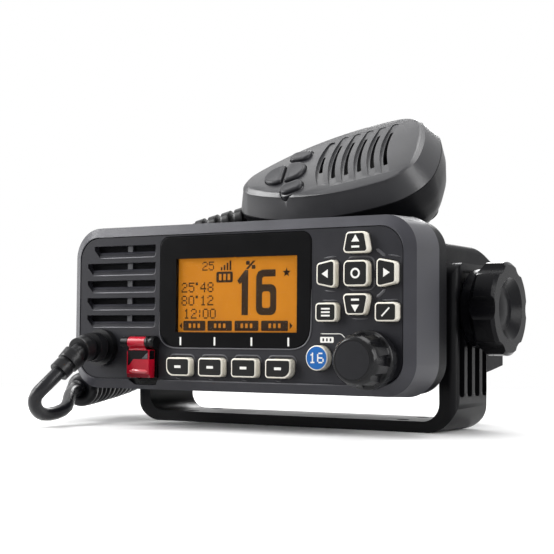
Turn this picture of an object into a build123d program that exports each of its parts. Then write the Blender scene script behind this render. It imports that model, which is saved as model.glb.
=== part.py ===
from build123d import *
import math
import os

# Fixed-mount VHF marine radio: transceiver, U bracket with clamp knobs, hand microphone
# on a curly cord. Millimetres. Origin: centre of the bracket's underside.
# +X to the user's right, +Y away from the user, +Z up. The radio tilts about the X axis
# through the clamp studs, straight above the origin. "Depth" is measured backwards from
# the plane of the front, so it is negative for what stands proud of it.

# ---------------------------------------------------------------- driving dimensions
# Tilt axis
PIVOT_Z = 47.6             # above the mounting surface
FRONT_TO_PIVOT = 57.6      # front plane to the tilt axis

# Front panel moulding
PANEL_W = 156.5
PANEL_DEPTH = 20.0         # front plane to the back of the side band
PANEL_CORNER = 13.0
PANEL_WALL = 3.0
FRONT_WALL = 3.4
BEVEL_W = 4.7              # bevel round the front, seen from the front
BEVEL_D = 2.6              # and from the side
PANEL_DRAFT = 0.7          # the side band narrows this much towards the front
INLAY_T = 1.5              # plate let into the front
INLAY_DROP = 0.2           # its face behind the front plane
INLAY_GAP = 0.35           # groove round it
INLAY_CORNER = 9.5
FIT = 0.2                  # gap round a piece set into a pocket
SEAT = 0.05                # gap between faces that are screwed or glued together

# Chassis casting
BODY_DEPTH = 110.1         # front plane to the fin tips
GASKET_T = 1.6
GASKET_INSET = 1.3
GASKET_RIM = 5.7           # width of the gasket's band
FLANGE_T = 6.8
FLANGE_INSET = 0.9
CHASSIS_W = 134.0
CHASSIS_H = 53.0
CHASSIS_RISE = -0.6        # chassis middle above the tilt axis
CHASSIS_WALL = 3.0
SLOPE_L = 28.6             # length of the slope at the back of the top
SLOPE_DROP = 9.8
KEEL_DROP = 4.5            # the same at the back of the underside
FIN_DEPTH = 15.0
FIN_T = 2.4
FIN_PITCH = 7.0
FIN_EDGE = 7.0             # outermost gap's middle to the chassis side
BOSS_H = 0.3               # raised seat round each clamp stud

# Bracket and clamps
ARM_T = 7.3
BASE_T = 4.3
BRACKET_D = 32.0           # front to back
ARM_ABOVE_PIVOT = 17.4
ARM_TOP_R = 6.0
BRACKET_CORNER = 12.7      # outer bend from base to arm
BRACKET_FILLET = 7.0       # inner bend
BRACKET_EDGE_R = 3.5       # rounding of the arms' outer upright edges
GROOVE_COUNT = 4
GROOVE_D = 2.4
RIB_W = 2.6
ARM_RIM = 3.0              # rim round the recess that the clamp knob sits in
CLAMP_PAD_R = 8.0
BASE_HOLE_R = 2.6
BASE_HOLES_X = 100.0
BASE_HOLES_Y = 18.0
STUD_R = 3.0
STUD_FIT = 0.05            # radial gap in the chassis
STUD_RUN = 0.09            # radial gap in the bracket's arm, which turns on the stud
STUD_IN = 6.0              # how far the stud reaches into the chassis side
STUD_OUT = 10.0            # and into the knob
WASHER_R = 9.0
WASHER_T = 1.0
WASHER_RUN = 0.12          # washer to the arm's inner face
KNOB_RUN = 0.25            # knob to the arm's outer face
KNOB_R = 18.0
KNOB_L = 15.0
KNOB_LOBES = 6
KNOB_HUB_R = 15.2
KNOB_HUB_L = 6.0
FLUTE_R = 6.5
FLUTE_DEPTH = 2.3
DISH_R = 12.0
DISH_FLOOR_R = 8.2
DISH_DEPTH = 3.0
DISH_DOME_R = 6.6          # raised middle of the dish's floor
DISH_DOME = 0.9

# Speaker and its grille, placed from the panel's left and top edges
SLOT_COUNT = 5
SLOT_PITCH = 7.0
SLOT_FROM_TOP = 10.8       # panel top to the middle of the top slot
SLOT_FROM_LEFT = 8.5
SLOT_TOP_INDENT = 3.4      # the top slot starts further in, clear of the corner
SLOT_L = 34.5
SLOT_H = 4.9
SLOT_SLANT = 3.0
LOUVRE_D = 2.4             # depth at which the sloping ledge meets the opening
GRILLE_BAR_W = 2.4
GRILLE_BAR_FROM_RIGHT = 14.3
SPEAKER_R = 17.0
SPEAKER_MAGNET_R = 9.5
SPEAKER_L = 12.0
CLOTH_T = 0.45
CLOTH_MARGIN = 1.2

# Display
WINDOW_W = 68.9
WINDOW_X = 1.65            # middle of the black surround
WINDOW_FROM_TOP = 5.65
WINDOW_ABOVE_KEYS = 3.7    # black surround to the row of keys below it
WINDOW_TOP_R = 4.0
WINDOW_BOTTOM_R = 8.5
SURROUND_T = 1.9
SURROUND_PROUD = 0.25
LCD_X = 2.7
LCD_W = 55.0
LCD_HEAD = 8.8             # surround above the display
LCD_FOOT = 6.1             # and below it
LCD_BORDER = 3.0
LCD_T = 2.0
PANE_T = 0.8
PANE_SET_BACK = 0.1
BACKLIGHT_T = 3.2

# Keys
KEY_PROUD = 2.6
KEY_GAP = 0.3              # round each cap
KEY_TRAVEL = 0.8
KEY_FLANGE = 0.7           # lip behind the wall that keeps the cap in
KEY_FLANGE_T = 0.8
KEY_EDGE_R = 0.4
KEY_RIM = 0.95             # raised rim round the dished face of a cap
KEY_DISH = 0.3
SOFT_KEY_COUNT = 4
SOFT_KEY_PITCH = 15.17
SOFT_KEY_X = 0.85          # middle of the row
SOFT_KEY_Z = 10.05         # above the panel's bottom edge
SOFT_KEY_W = 11.2
SOFT_KEY_H = 7.2
SOFT_KEY_R = 1.4
SOFT_KEY_END_R = 3.2       # outer lower corners of the row
PAD_FROM_RIGHT = 22.45
PAD_FROM_TOP = 6.8         # up key to the panel's top edge
PAD_ABOVE_DIAL = 2.95      # low keys to the top of the dial
PAD_KEY_W = 9.9
PAD_KEY_H = 9.4
ARROW_OUT = 11.1           # pad middle to the middle of the up and down keys
ARROW_SIDE = 12.2          # and of the left and right keys
ARROW_INNER = 10.7         # their width on the side of the pad's middle
ARROW_OUTER = 7.6
ARROW_H = 7.7
LOW_KEY_BELOW = 13.9
LOW_KEY_SIDE = 12.1
LOW_KEY_W = 8.7
LOW_KEY_H = 6.9
PAD_KEY_R = 1.5
ROUND_KEY_FROM_RIGHT = 38.15
ROUND_KEY_Z = 14.25
ROUND_KEY_R = 4.6
MAT_T = 1.4

# Volume dial
DIAL_FROM_RIGHT = 16.35
DIAL_Z = 13.85             # above the panel's bottom edge
DIAL_R = 10.6
DIAL_GRIP_R = 9.7
DIAL_FACE_R = 7.3
DIAL_L = 14.7
DIAL_SKIRT_L = 4.6
DIAL_PUSH = 0.8            # travel of the push switch under it
DIAL_CLEAR = 0.7           # what is left under the skirt when it is pushed
DIAL_FLUTES = 9
DIAL_FLUTE_R = 3.0
DIAL_FLUTE_DEPTH = 1.1
SPINDLE_R = 3.0
SPINDLE_RUN = 0.06
SPINDLE_REACH = 9.0        # how far behind the front plane it ends
SPINDLE_IN_DIAL = 11.0
PLUNGER_R = 2.4
PLUNGER_T = 2.0
ENCODER_W = 13.0

# Emergency button under its hinged lid, placed from the panel's left and bottom edges
LID_FROM_LEFT = 33.2
LID_W = 10.8
LID_T = 1.2
LID_Z = 5.45               # lower edge of the lid
LID_PIVOT_RISE = 19.3     # hinge line
LID_PIVOT_PROUD = 2.6
LID_PROUD = 4.8
LID_REST = 0.4             # gap under the closed lid
BARREL_R = 2.3
BARREL_L = 8.3
HINGE_PIN_R = 0.8
HINGE_RUN = 0.05
BARREL_CLEAR = 0.3
EAR_L = 3.2                # hinge ear beside the barrel
CRADLE_SIDE = 3.0          # cradle beyond the lid on the left
CRADLE_SIDE_RIGHT = 0.9
CRADLE_BELOW = 2.8
CRADLE_NOTCH = 1.9         # how deep the cradle is cut away below the lid
CRADLE_ABOVE = 2.4         # above the hinge line
CRADLE_DEPTH = 8.0
CRADLE_PROUD = 0.5
CRADLE_WELL = 3.0
ALARM_KEY_W = 7.0
ALARM_KEY_H = 7.4
ALARM_KEY_RISE = 10.95
ALARM_KEY_PROUD = 0.0

# Cord and its gland
CORD_D = 5.4
CURL_D = 15.0              # outside of the curly part
GLAND_FROM_LEFT = 17.25
GLAND_Z = 17.05            # above the panel's bottom edge
GLAND_FLANGE_R = 7.4
GLAND_FLANGE_T = 2.6
GLAND_NECK_R = 5.0
GLAND_NUT_R = 5.9
RELIEF_CORE_R = 3.4
RELIEF_RING_L = 4.4
RELIEF_RINGS = ((0.10, 6.0), (0.37, 5.4), (0.63, 4.9))    # place along it, radius
RELIEF_TIP_R = 4.1
RELIEF_TIP_L = 3.6

# Route points of the cord: x, depth, height
RELIEF_ROUTE = [(-61.0, -2.6, 31.4), (-59.6, -13.8, 31.8), (-62.5, -25.0, 21.9)]
TAIL_ROUTE = [(-62.5, -25.0, 21.9), (-64.0, -30.8, 16.8), (-68.1, -32.5, 12.5),
              (-71.0, -28.9, 7.6), (-74.0, -20.3, 4.2), (-73.8, -6.3, 6.2),
              (-82.7, 5.1, 12.6), (-86.0, 14.0, 13.0)]
CURL_ROUTE = [(-86.0, 14.0, 13.0), (-98.5, 48.0, 14.5), (-106.5, 82.0, 18.5),
              (-109.5, 97.5, 31.5), (-110.5, 103.5, 50.0), (-106.5, 99.5, 67.8),
              (-97.0, 89.0, 78.7), (-88.0, 71.0, 80.5)]

# Hand microphone in its own frame: u along it from the cord end, v across it, w out of
# its face, measured from the seam between its two shells
MIC_L = 90.8
MIC_END_R = 14.0           # rounding of the cord end
MIC_SIDE_R = 94.0          # bow of the long sides
MIC_TOP_R = 20.0           # corners of the wide end
MIC_TOP_V = 9.7            # middles of those corners, out from the microphone's middle
MIC_TOP_BOW_R = 65.0       # bow of the wide end
MIC_WALL = 2.4
MIC_SEAM = 0.1             # half the gap between the shells
MIC_BACK_D = 20.6          # seam to the back
MIC_BACK_ROUND = 9.5       # how far the back's rounding comes in
MIC_SIDE_D = 7.2           # seam to the edge of the face
MIC_SIDE_DRAFT = 3.9
MIC_FACE_D = 10.1          # seam to the crown of the face
MIC_FACE_ROUND = 2.0
MIC_CROWN_R = 210.0
MIC_YAW = 9.73
MIC_PITCH = 11.19
MIC_TILT = 38.9
MIC_X = 10.6               # its middle, from the middle of the radio
MIC_BEHIND = 66.9          # its middle, from the front plane
MIC_REST = 0.3             # gap to the chassis top that it lies on
MIC_SLOTS = 6
MIC_SLOT_U = 40.9
MIC_SLOT_PITCH = 5.7
MIC_SLOT_W = 3.2
MIC_SLOT_HALF = 18.6
MIC_SLOT_BOW = 2.4
MIC_SLOT_D = 1.2           # depth of the groove; its middle goes right through
MIC_SLIT_HALF = 12.5
MIC_SLIT_W = 1.9
MIC_KEY_U = 25.3
MIC_KEY_V = -2.0
MIC_KEY_PAIR_L = 18.8      # two keys shaped as the halves of an oval
MIC_KEY_PAIR_W = 13.0
MIC_KEY_SPLIT = 1.2
MIC_SIDE_KEY_AHEAD = 5.0   # the keys beside the pair, from its middle
MIC_SIDE_KEY_OUT = 13.0
MIC_SIDE_KEY_L = 10.2
MIC_SIDE_KEY_W = 7.8
MIC_SIDE_KEY_TURN = 12.0
MIC_KEY_PROUD = 1.6
MIC_KEY_TRAVEL = 0.7
MIC_KEY_L = 5.0            # height of a cap, from its foot to its top
TALK_U = 36.0              # talk bar on the far side
TALK_L = 40.0
TALK_BELOW = 4.6           # below and above the seam
TALK_ABOVE = 4.4
TALK_PROUD = 2.4
TALK_TRAVEL = 1.4
TALK_T = 4.0
TALK_GAP = 0.4
HANGER_U = 74.0            # round stud on the back that hooks over a clip
HANGER_R = 7.5
HANGER_NECK_R = 4.0
HANGER_NECK_L = 3.2
HANGER_CAP_T = 2.2
MIC_RELIEF_L = 26.0
MIC_RELIEF_R = 5.2
MIC_RELIEF_BELOW = 7.0     # its axis, below the seam
MIC_RELIEF_RINGS = 4
MIC_RELIEF_SHRINK = 0.25
MIC_SPEAKER_R = 14.0
MIC_SPEAKER_T = 4.0
MIC_BOARD_T = 1.2
LEAD_BEND = [(-82.7, 60.4, 81.56)]      # between the curly part and the microphone
LEAD_STRAIGHT = 14.0

# Rear connectors
SOCKET_X = 47.0
SOCKET_Z = 46.0
SOCKET_R = 7.9
SOCKET_L = 11.0
SOCKET_WALL = 1.2
SOCKET_FLANGE = 25.4
SOCKET_FLANGE_T = 2.0
SOCKET_BORE_R = 4.2
SOCKET_PIN_R = 2.4
CONNECTOR_SET_IN = 6.0     # flats for the connectors, in from the fin tips
LEAD_X = (-47.0, -25.0, -5.0)
LEAD_R = (6.0, 4.2, 4.2)
LEAD_Z = 40.0
LEAD_COLLAR = 2.0
LEAD_SLEEVE_L = 9.0
SCREW_R = 1.6
SCREW_HEAD_R = 3.2
SCREW_FROM_EDGE = 7.5
BOARD_T = 1.6

# ---------------------------------------------------------------- worked-out places
# The panel is as high as its right-hand column of dial and keys needs
PAD_Z = DIAL_Z + DIAL_R + PAD_ABOVE_DIAL + LOW_KEY_H / 2 + LOW_KEY_BELOW
PANEL_H = PAD_Z + ARROW_OUT + ARROW_H / 2 + PAD_FROM_TOP
FRONT_Y = -FRONT_TO_PIVOT
PANEL_LEFT = -PANEL_W / 2
PANEL_RIGHT = PANEL_W / 2
PANEL_BOTTOM = PIVOT_Z - PANEL_H / 2
PANEL_TOP = PIVOT_Z + PANEL_H / 2
POCKET_D = INLAY_DROP + INLAY_T
GASKET_FRONT = PANEL_DEPTH + SEAT
FLANGE_FRONT = GASKET_FRONT + GASKET_T + SEAT
FLANGE_BACK = FLANGE_FRONT + FLANGE_T
CHASSIS_MID_Z = PIVOT_Z + CHASSIS_RISE
CHASSIS_TOP = CHASSIS_MID_Z + CHASSIS_H / 2
CHASSIS_BOTTOM = CHASSIS_MID_Z - CHASSIS_H / 2
CHASSIS_SIDE = CHASSIS_W / 2
ARM_IN = CHASSIS_SIDE + BOSS_H + SEAT + WASHER_T + WASHER_RUN
ARM_OUT = ARM_IN + ARM_T
ARM_TOP = PIVOT_Z + ARM_ABOVE_PIVOT
KNOB_IN = ARM_OUT + KNOB_RUN
MIC_HALF = MIC_TOP_V + MIC_TOP_R
SIDES = (("left", -1), ("right", 1))
OPEN = 1.0                 # how far a cut runs past the face it opens

parts = {}


# ---------------------------------------------------------------- helpers
def depth_plane(depth):
    """Plane parallel to the front, its x along X and its y along Z, facing the user."""
    return Plane(origin=(0, FRONT_Y + depth, 0), x_dir=(1, 0, 0), z_dir=(0, -1, 0))


def slab(profile, near, far):
    """Profile drawn in X and Z, made solid between two depths."""
    return extrude(depth_plane(far) * profile, far - near)


def disc(radius, x, z, near, far):
    return slab(Pos(x, z) * Circle(radius), near, far)


def along_x(profile, x0, x1):
    """Profile drawn in Y and Z, made solid between two places along X, in either order."""
    start = min(x0, x1)
    plane = Plane(origin=(start, 0, 0), x_dir=(0, 1, 0), z_dir=(1, 0, 0))
    return extrude(plane * profile, abs(x1 - x0))


def rod(radius, x0, x1, y, z):
    return along_x(Pos(y, z) * Circle(radius), x0, x1)


def prism(points, x0, x1):
    """Polygon of (depth, height) points made solid between two places along X."""
    outline = Polyline(*[(FRONT_Y + depth, height) for depth, height in points], close=True)
    return along_x(make_face(outline), x0, x1)


def panel_outline(inset):
    corner = max(PANEL_CORNER - inset, 2.0)
    return Pos(0, PIVOT_Z) * RectangleRounded(PANEL_W - 2 * inset, PANEL_H - 2 * inset, corner)


def behind(point):
    """(x, depth, height) as a point in space."""
    return Vector(point[0], FRONT_Y + point[1], point[2])


def bend_radii(points):
    """Largest tangent arcs that the two runs beside each point leave room for."""
    radii = []
    for before, corner, after in zip(points, points[1:], points[2:]):
        run_in = corner - before
        run_out = after - corner
        turn = math.radians(run_in.get_angle(run_out))
        radii.append(0.45 * min(run_in.length, run_out.length) / math.tan(turn / 2))
    return radii


def route_tube(points, radius, label):
    """Round tube along straight runs joined by tangent arcs."""
    radii = bend_radii(points)
    path = FilletPolyline(*points, radius=radii)
    start = Plane(origin=path @ 0, z_dir=path % 0)
    tube = sweep(start * Circle(radius), path=path)
    ratio = tube.volume / (math.pi * radius ** 2 * path.length)
    print(label, "length", round(path.length, 1), "radii", [round(r, 1) for r in radii],
          "volume / (section x length)", round(ratio, 4))
    return tube


# ---------------------------------------------------------------- front panel
panel = loft([depth_plane(PANEL_DEPTH) * panel_outline(0),
              depth_plane(BEVEL_D) * panel_outline(PANEL_DRAFT),
              depth_plane(0) * panel_outline(BEVEL_W)], ruled=True)
panel = panel - slab(panel_outline(PANEL_WALL), FRONT_WALL, PANEL_DEPTH + OPEN)
inlay_w = PANEL_W - 2 * BEVEL_W
inlay_h = PANEL_H - 2 * BEVEL_W
pocket = Pos(0, PIVOT_Z) * RectangleRounded(inlay_w, inlay_h, INLAY_CORNER)
panel = panel - slab(pocket, -OPEN, POCKET_D)
inlay = slab(offset(pocket, -INLAY_GAP), INLAY_DROP, POCKET_D)

# Speaker grille: each slot has a sloping ledge below and an opening above it
slot_left = PANEL_LEFT + SLOT_FROM_LEFT
slot_right = slot_left + SLOT_L
slot_top_z = PANEL_TOP - SLOT_FROM_TOP


def grille_slot(z, left):
    half = SLOT_H / 2
    outline = make_face(Polyline((left, half), (slot_right, half), (slot_right, -half),
                                 (left + SLOT_SLANT, -half), (left, half * 0.35), close=True))
    lower_right = outline.vertices().sort_by(Axis.X)[-2:].sort_by(Axis.Y)[0]
    outline = fillet(lower_right, 1.8)
    ledge = prism([(-OPEN, z - half), (0, z - half), (LOUVRE_D, z),
                   (FRONT_WALL + OPEN, z), (FRONT_WALL + OPEN, z + half + OPEN),
                   (-OPEN, z + half + OPEN)], left - OPEN, slot_right + OPEN)
    return slab(Pos(0, z) * outline, -OPEN, FRONT_WALL + OPEN) & ledge


for row in range(SLOT_COUNT):
    indent = SLOT_TOP_INDENT if row == 0 else 0
    slot = grille_slot(slot_top_z - row * SLOT_PITCH, slot_left + indent)
    panel = panel - slot
    inlay = inlay - slot
grille_h = (SLOT_COUNT - 1) * SLOT_PITCH + SLOT_H
grille_mid_z = slot_top_z - (SLOT_COUNT - 1) * SLOT_PITCH / 2
bar_x = slot_right - GRILLE_BAR_FROM_RIGHT
panel = panel + slab(Pos(bar_x, grille_mid_z) * Rectangle(GRILLE_BAR_W, grille_h),
                     LOUVRE_D, FRONT_WALL)


# ---------------------------------------------------------------- display
window_top = PANEL_TOP - WINDOW_FROM_TOP
window_low = PANEL_BOTTOM + SOFT_KEY_Z + SOFT_KEY_H / 2 + WINDOW_ABOVE_KEYS
window_z = (window_top + window_low) / 2
window_h = window_top - window_low
lcd_h = window_h - LCD_HEAD - LCD_FOOT
lcd_z = window_low + LCD_FOOT + lcd_h / 2


def window_outline():
    face = Pos(WINDOW_X, window_z) * Rectangle(WINDOW_W, window_h)
    face = fillet(face.vertices().sort_by(Axis.Y)[:2], WINDOW_BOTTOM_R)
    return fillet(face.vertices().sort_by(Axis.Y)[-2:], WINDOW_TOP_R)


surround_back = POCKET_D - SEAT
inlay = inlay - slab(offset(window_outline(), FIT), -OPEN, POCKET_D + OPEN)
lcd_view = Pos(LCD_X, lcd_z) * Rectangle(LCD_W, lcd_h)
lcd_body = Pos(LCD_X, lcd_z) * Rectangle(LCD_W + 2 * LCD_BORDER, lcd_h + 2 * LCD_BORDER)
lcd_opening = Pos(LCD_X, lcd_z) * Rectangle(LCD_W + 2 * (LCD_BORDER + FIT),
                                            lcd_h + 2 * (LCD_BORDER + FIT))
surround = slab(window_outline(), -SURROUND_PROUD, surround_back)
surround = chamfer(surround.faces().sort_by(Axis.Y)[0].edges(), 0.45)
surround = surround - slab(lcd_view, -OPEN, surround_back + OPEN)
parts["display_surround"] = surround
panel = panel - slab(lcd_opening, -OPEN, FRONT_WALL + OPEN)
pane = Pos(LCD_X, lcd_z) * Rectangle(LCD_W - 2 * SEAT, lcd_h - 2 * SEAT)
parts["display_pane"] = slab(pane, PANE_SET_BACK, PANE_SET_BACK + PANE_T)
lcd_front = surround_back + SEAT
parts["lcd_glass"] = slab(lcd_body, lcd_front, lcd_front + LCD_T)
backlight_front = lcd_front + LCD_T + SEAT
parts["backlight"] = slab(lcd_body, backlight_front, backlight_front + BACKLIGHT_T)


# ---------------------------------------------------------------- keys
pad_x = PANEL_RIGHT - PAD_FROM_RIGHT
pad_z = PANEL_BOTTOM + PAD_Z
soft_z = PANEL_BOTTOM + SOFT_KEY_Z
round_x = PANEL_RIGHT - ROUND_KEY_FROM_RIGHT
round_z = PANEL_BOTTOM + ROUND_KEY_Z


def soft_key_outline(index):
    """Rounded key; the row's two outer lower corners are rounder."""
    key = Rectangle(SOFT_KEY_W, SOFT_KEY_H)
    corners = key.vertices().sort_by(Axis.X)
    left_low = corners[:2].sort_by(Axis.Y)[0]
    right_low = corners[-2:].sort_by(Axis.Y)[0]
    round_corner = {0: left_low, SOFT_KEY_COUNT - 1: right_low}.get(index)
    if round_corner is None:
        return fillet(key.vertices(), SOFT_KEY_R)
    key = fillet(round_corner, SOFT_KEY_END_R)
    half_w = SOFT_KEY_W / 2
    half_h = SOFT_KEY_H / 2
    sharp = [v for v in key.vertices() if abs(abs(v.X) - half_w) + abs(abs(v.Y) - half_h) < 0.01]
    return fillet(sharp, SOFT_KEY_R)


def arrow_outline(reach):
    """Trapezoid that narrows away from the pad's middle."""
    inner, outer, half = ARROW_INNER / 2, ARROW_OUTER / 2, ARROW_H / 2
    shape = make_face(Polyline((-inner, reach - half), (inner, reach - half),
                               (outer, reach + half), (-outer, reach + half), close=True))
    return fillet(shape.vertices(), PAD_KEY_R)


pad = Pos(pad_x, pad_z)
low_key = RectangleRounded(LOW_KEY_W, LOW_KEY_H, PAD_KEY_R)
key_outlines = {
    "key_up": pad * arrow_outline(ARROW_OUT),
    "key_left": pad * Rot(0, 0, 90) * arrow_outline(ARROW_SIDE),
    "key_down": pad * Rot(0, 0, 180) * arrow_outline(ARROW_OUT),
    "key_right": pad * Rot(0, 0, 270) * arrow_outline(ARROW_SIDE),
    "key_centre": pad * RectangleRounded(PAD_KEY_W, PAD_KEY_H, 2.0),
    "key_low_left": pad * Pos(-LOW_KEY_SIDE, -LOW_KEY_BELOW) * low_key,
    "key_low_right": pad * Pos(LOW_KEY_SIDE, -LOW_KEY_BELOW) * low_key,
    "key_round": Pos(round_x, round_z) * Circle(ROUND_KEY_R),
}
soft_row_x = [SOFT_KEY_X + (index - (SOFT_KEY_COUNT - 1) / 2) * SOFT_KEY_PITCH
              for index in range(SOFT_KEY_COUNT)]
for index, x in enumerate(soft_row_x):
    key_outlines["soft_key_%d" % (index + 1)] = Pos(x, soft_z) * soft_key_outline(index)

flange_front = FRONT_WALL + FIT
flange_back = flange_front + KEY_FLANGE_T
for name, outline in key_outlines.items():
    cap = slab(outline, -KEY_PROUD, flange_front)
    cap = fillet(cap.faces().sort_by(Axis.Y)[0].edges(), KEY_EDGE_R)
    cap = cap - slab(offset(outline, -KEY_RIM), -KEY_PROUD - OPEN, KEY_DISH - KEY_PROUD)
    parts[name] = cap + slab(offset(outline, KEY_FLANGE), flange_front, flange_back)
    hole = slab(offset(outline, KEY_GAP), -OPEN, FRONT_WALL + OPEN)
    panel = panel - hole
    inlay = inlay - hole

# Silicone mat behind the caps: a strip for the row, a sheet for the pad, a dot for the round key
mat_front = flange_back + KEY_TRAVEL + SEAT
mat_back = mat_front + MAT_T
row_w = (SOFT_KEY_COUNT - 1) * SOFT_KEY_PITCH + SOFT_KEY_W
pad_top = pad_z + ARROW_OUT + ARROW_H / 2
pad_low = pad_z - LOW_KEY_BELOW - LOW_KEY_H / 2
mat_strip = slab(Pos(SOFT_KEY_X, soft_z) * Rectangle(row_w, SOFT_KEY_H), mat_front, mat_back)
mat_sheet = slab(Pos(pad_x, (pad_top + pad_low) / 2)
                 * Rectangle(2 * LOW_KEY_SIDE + LOW_KEY_W, pad_top - pad_low), mat_front, mat_back)
mat_dot = disc(ROUND_KEY_R, round_x, round_z, mat_front, mat_back)
parts["key_mat"] = Compound([mat_strip.solid(), mat_sheet.solid(), mat_dot.solid()])

# ---------------------------------------------------------------- volume dial
dial_x = PANEL_RIGHT - DIAL_FROM_RIGHT
dial_z = PANEL_BOTTOM + DIAL_Z
dial_back = INLAY_DROP - DIAL_PUSH - DIAL_CLEAR
dial_front = dial_back - DIAL_L
panel = panel - disc(SPINDLE_R + SPINDLE_RUN, dial_x, dial_z, -OPEN, FRONT_WALL + OPEN)
inlay = inlay - disc(SPINDLE_R + KEY_GAP, dial_x, dial_z, -OPEN, POCKET_D + OPEN)
skirt = dial_back - DIAL_SKIRT_L
dial_half = Polyline((0, dial_back), (DIAL_R - 0.5, dial_back), (DIAL_R, dial_back - 0.8),
                     (DIAL_R, skirt), (DIAL_GRIP_R, skirt - 1.0),
                     (DIAL_GRIP_R - 0.6, dial_front + 2.4), (DIAL_FACE_R + 0.7, dial_front + 0.5),
                     (DIAL_FACE_R, dial_front), (0, dial_front), close=True)
dial_plane = Plane(origin=(dial_x, FRONT_Y, dial_z), x_dir=(1, 0, 0), z_dir=(0, 0, 1))
dial = revolve(dial_plane * make_face(dial_half), axis=Axis((dial_x, FRONT_Y, dial_z), (0, 1, 0)))
flute_reach = DIAL_GRIP_R + DIAL_FLUTE_R - DIAL_FLUTE_DEPTH
for index in range(DIAL_FLUTES):
    turn = 2 * math.pi * index / DIAL_FLUTES
    dial = dial - disc(DIAL_FLUTE_R, dial_x + flute_reach * math.cos(turn),
                       dial_z + flute_reach * math.sin(turn), dial_front - OPEN, skirt - 0.6)
spindle_front = dial_back - SPINDLE_IN_DIAL
dial = dial - disc(SPINDLE_R + 0.02, dial_x, dial_z, spindle_front - SEAT, dial_back + OPEN)
parts["volume_dial"] = dial
parts["dial_spindle"] = disc(SPINDLE_R, dial_x, dial_z, spindle_front, SPINDLE_REACH)
plunger_front = SPINDLE_REACH + SEAT
plunger_back = plunger_front + PLUNGER_T
parts["dial_plunger"] = disc(PLUNGER_R, dial_x, dial_z, plunger_front, plunger_back)
encoder_well = plunger_back + DIAL_PUSH + FIT
encoder = slab(Pos(dial_x, dial_z) * Rectangle(ENCODER_W, ENCODER_W), FRONT_WALL + SEAT,
               encoder_well + 1.5)
encoder = encoder - disc(SPINDLE_R + SPINDLE_RUN, dial_x, dial_z, 0, encoder_well)
parts["dial_encoder"] = encoder

# ---------------------------------------------------------------- emergency button and lid
lid_left = PANEL_LEFT + LID_FROM_LEFT
lid_right = lid_left + LID_W
lid_mid = (lid_left + lid_right) / 2
lid_low = PANEL_BOTTOM + LID_Z
hinge_z = PANEL_BOTTOM + LID_PIVOT_RISE
hinge_y = FRONT_Y - LID_PIVOT_PROUD
barrel_right = lid_left + BARREL_L
cradle_left = lid_left - CRADLE_SIDE
cradle_right = lid_right + CRADLE_SIDE_RIGHT
cradle_low = lid_low - CRADLE_BELOW
cradle_high = hinge_z + CRADLE_ABOVE
cradle_taper = CRADLE_BELOW - 0.6
cradle_face = make_face(Polyline(
    (cradle_left, cradle_high), (cradle_right, cradle_high),
    (cradle_right, cradle_low + cradle_taper), (cradle_right - cradle_taper, cradle_low),
    (cradle_left + cradle_taper, cradle_low), (cradle_left, cradle_low + cradle_taper), close=True))
cradle_face = fillet(cradle_face.vertices(), 1.0)
cradle_cut = slab(offset(cradle_face, FIT), -OPEN, FRONT_WALL + OPEN)
panel = panel - cradle_cut
inlay = inlay - cradle_cut
cradle = slab(cradle_face, -CRADLE_PROUD, FRONT_WALL)
notch_high = lid_low - FIT
notch_low = cradle_low - OPEN
notch = Pos(lid_mid, (notch_low + notch_high) / 2) * Rectangle(2 * LID_W, notch_high - notch_low)
cradle = cradle - slab(notch, -OPEN, CRADLE_NOTCH)
rear_low = PANEL_BOTTOM + PANEL_WALL + FIT
cradle = cradle + slab(Pos(lid_mid, (rear_low + cradle_high - 3.0) / 2)
                       * Rectangle(LID_W, cradle_high - 3.0 - rear_low), FRONT_WALL - 0.5,
                       CRADLE_DEPTH)
well_high = hinge_z - BARREL_R - 1.0
well = Pos(lid_mid, (lid_low - 0.8 + well_high) / 2) * Rectangle(LID_W - 1.4,
                                                                 well_high - lid_low + 0.8)
cradle = cradle - slab(well, -OPEN, CRADLE_WELL)
alarm_z = PANEL_BOTTOM + ALARM_KEY_RISE
alarm_outline = Pos(lid_mid, alarm_z) * RectangleRounded(ALARM_KEY_W, ALARM_KEY_H, 1.6)
alarm_foot = CRADLE_DEPTH - 3.2
cradle = cradle - slab(offset(alarm_outline, KEY_GAP), -OPEN, alarm_foot + KEY_TRAVEL + 0.4)
ear_spans = ((lid_left - BARREL_CLEAR - EAR_L, lid_left - BARREL_CLEAR),
             (barrel_right + BARREL_CLEAR, lid_right + 1.9))
ear_r = BARREL_R - 0.1
for x0, x1 in ear_spans:
    cradle = cradle + rod(ear_r, x0, x1, hinge_y, hinge_z)
    foot_x1 = min(x1, cradle_right)
    foot_x0 = max(x0, cradle_left)
    cradle = cradle + prism([(-LID_PIVOT_PROUD, hinge_z - 1.3), (0, hinge_z - 1.3),
                             (0, hinge_z + 1.3), (-LID_PIVOT_PROUD, hinge_z + 1.3)],
                            foot_x0, foot_x1)
for step in (0.5, 3.1):
    ring_x = ear_spans[1][1] - step
    cradle = cradle + rod(ear_r + 0.2, ring_x - 1.2, ring_x, hinge_y, hinge_z)
pin_left = ear_spans[0][0] + 0.4
pin_right = ear_spans[1][1] - 0.4
cradle = cradle - rod(HINGE_PIN_R + 0.03, pin_left - SEAT, pin_right + SEAT, hinge_y, hinge_z)
cradle = cradle - rod(BARREL_R + BARREL_CLEAR, lid_left - BARREL_CLEAR,
                      barrel_right + BARREL_CLEAR, hinge_y, hinge_z)
parts["button_cradle"] = cradle
parts["lid_pin"] = rod(HINGE_PIN_R, pin_left, pin_right, hinge_y, hinge_z)
alarm = slab(alarm_outline, -ALARM_KEY_PROUD, alarm_foot)
parts["emergency_button"] = fillet(alarm.faces().sort_by(Axis.Y)[0].edges(), 0.8)

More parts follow.
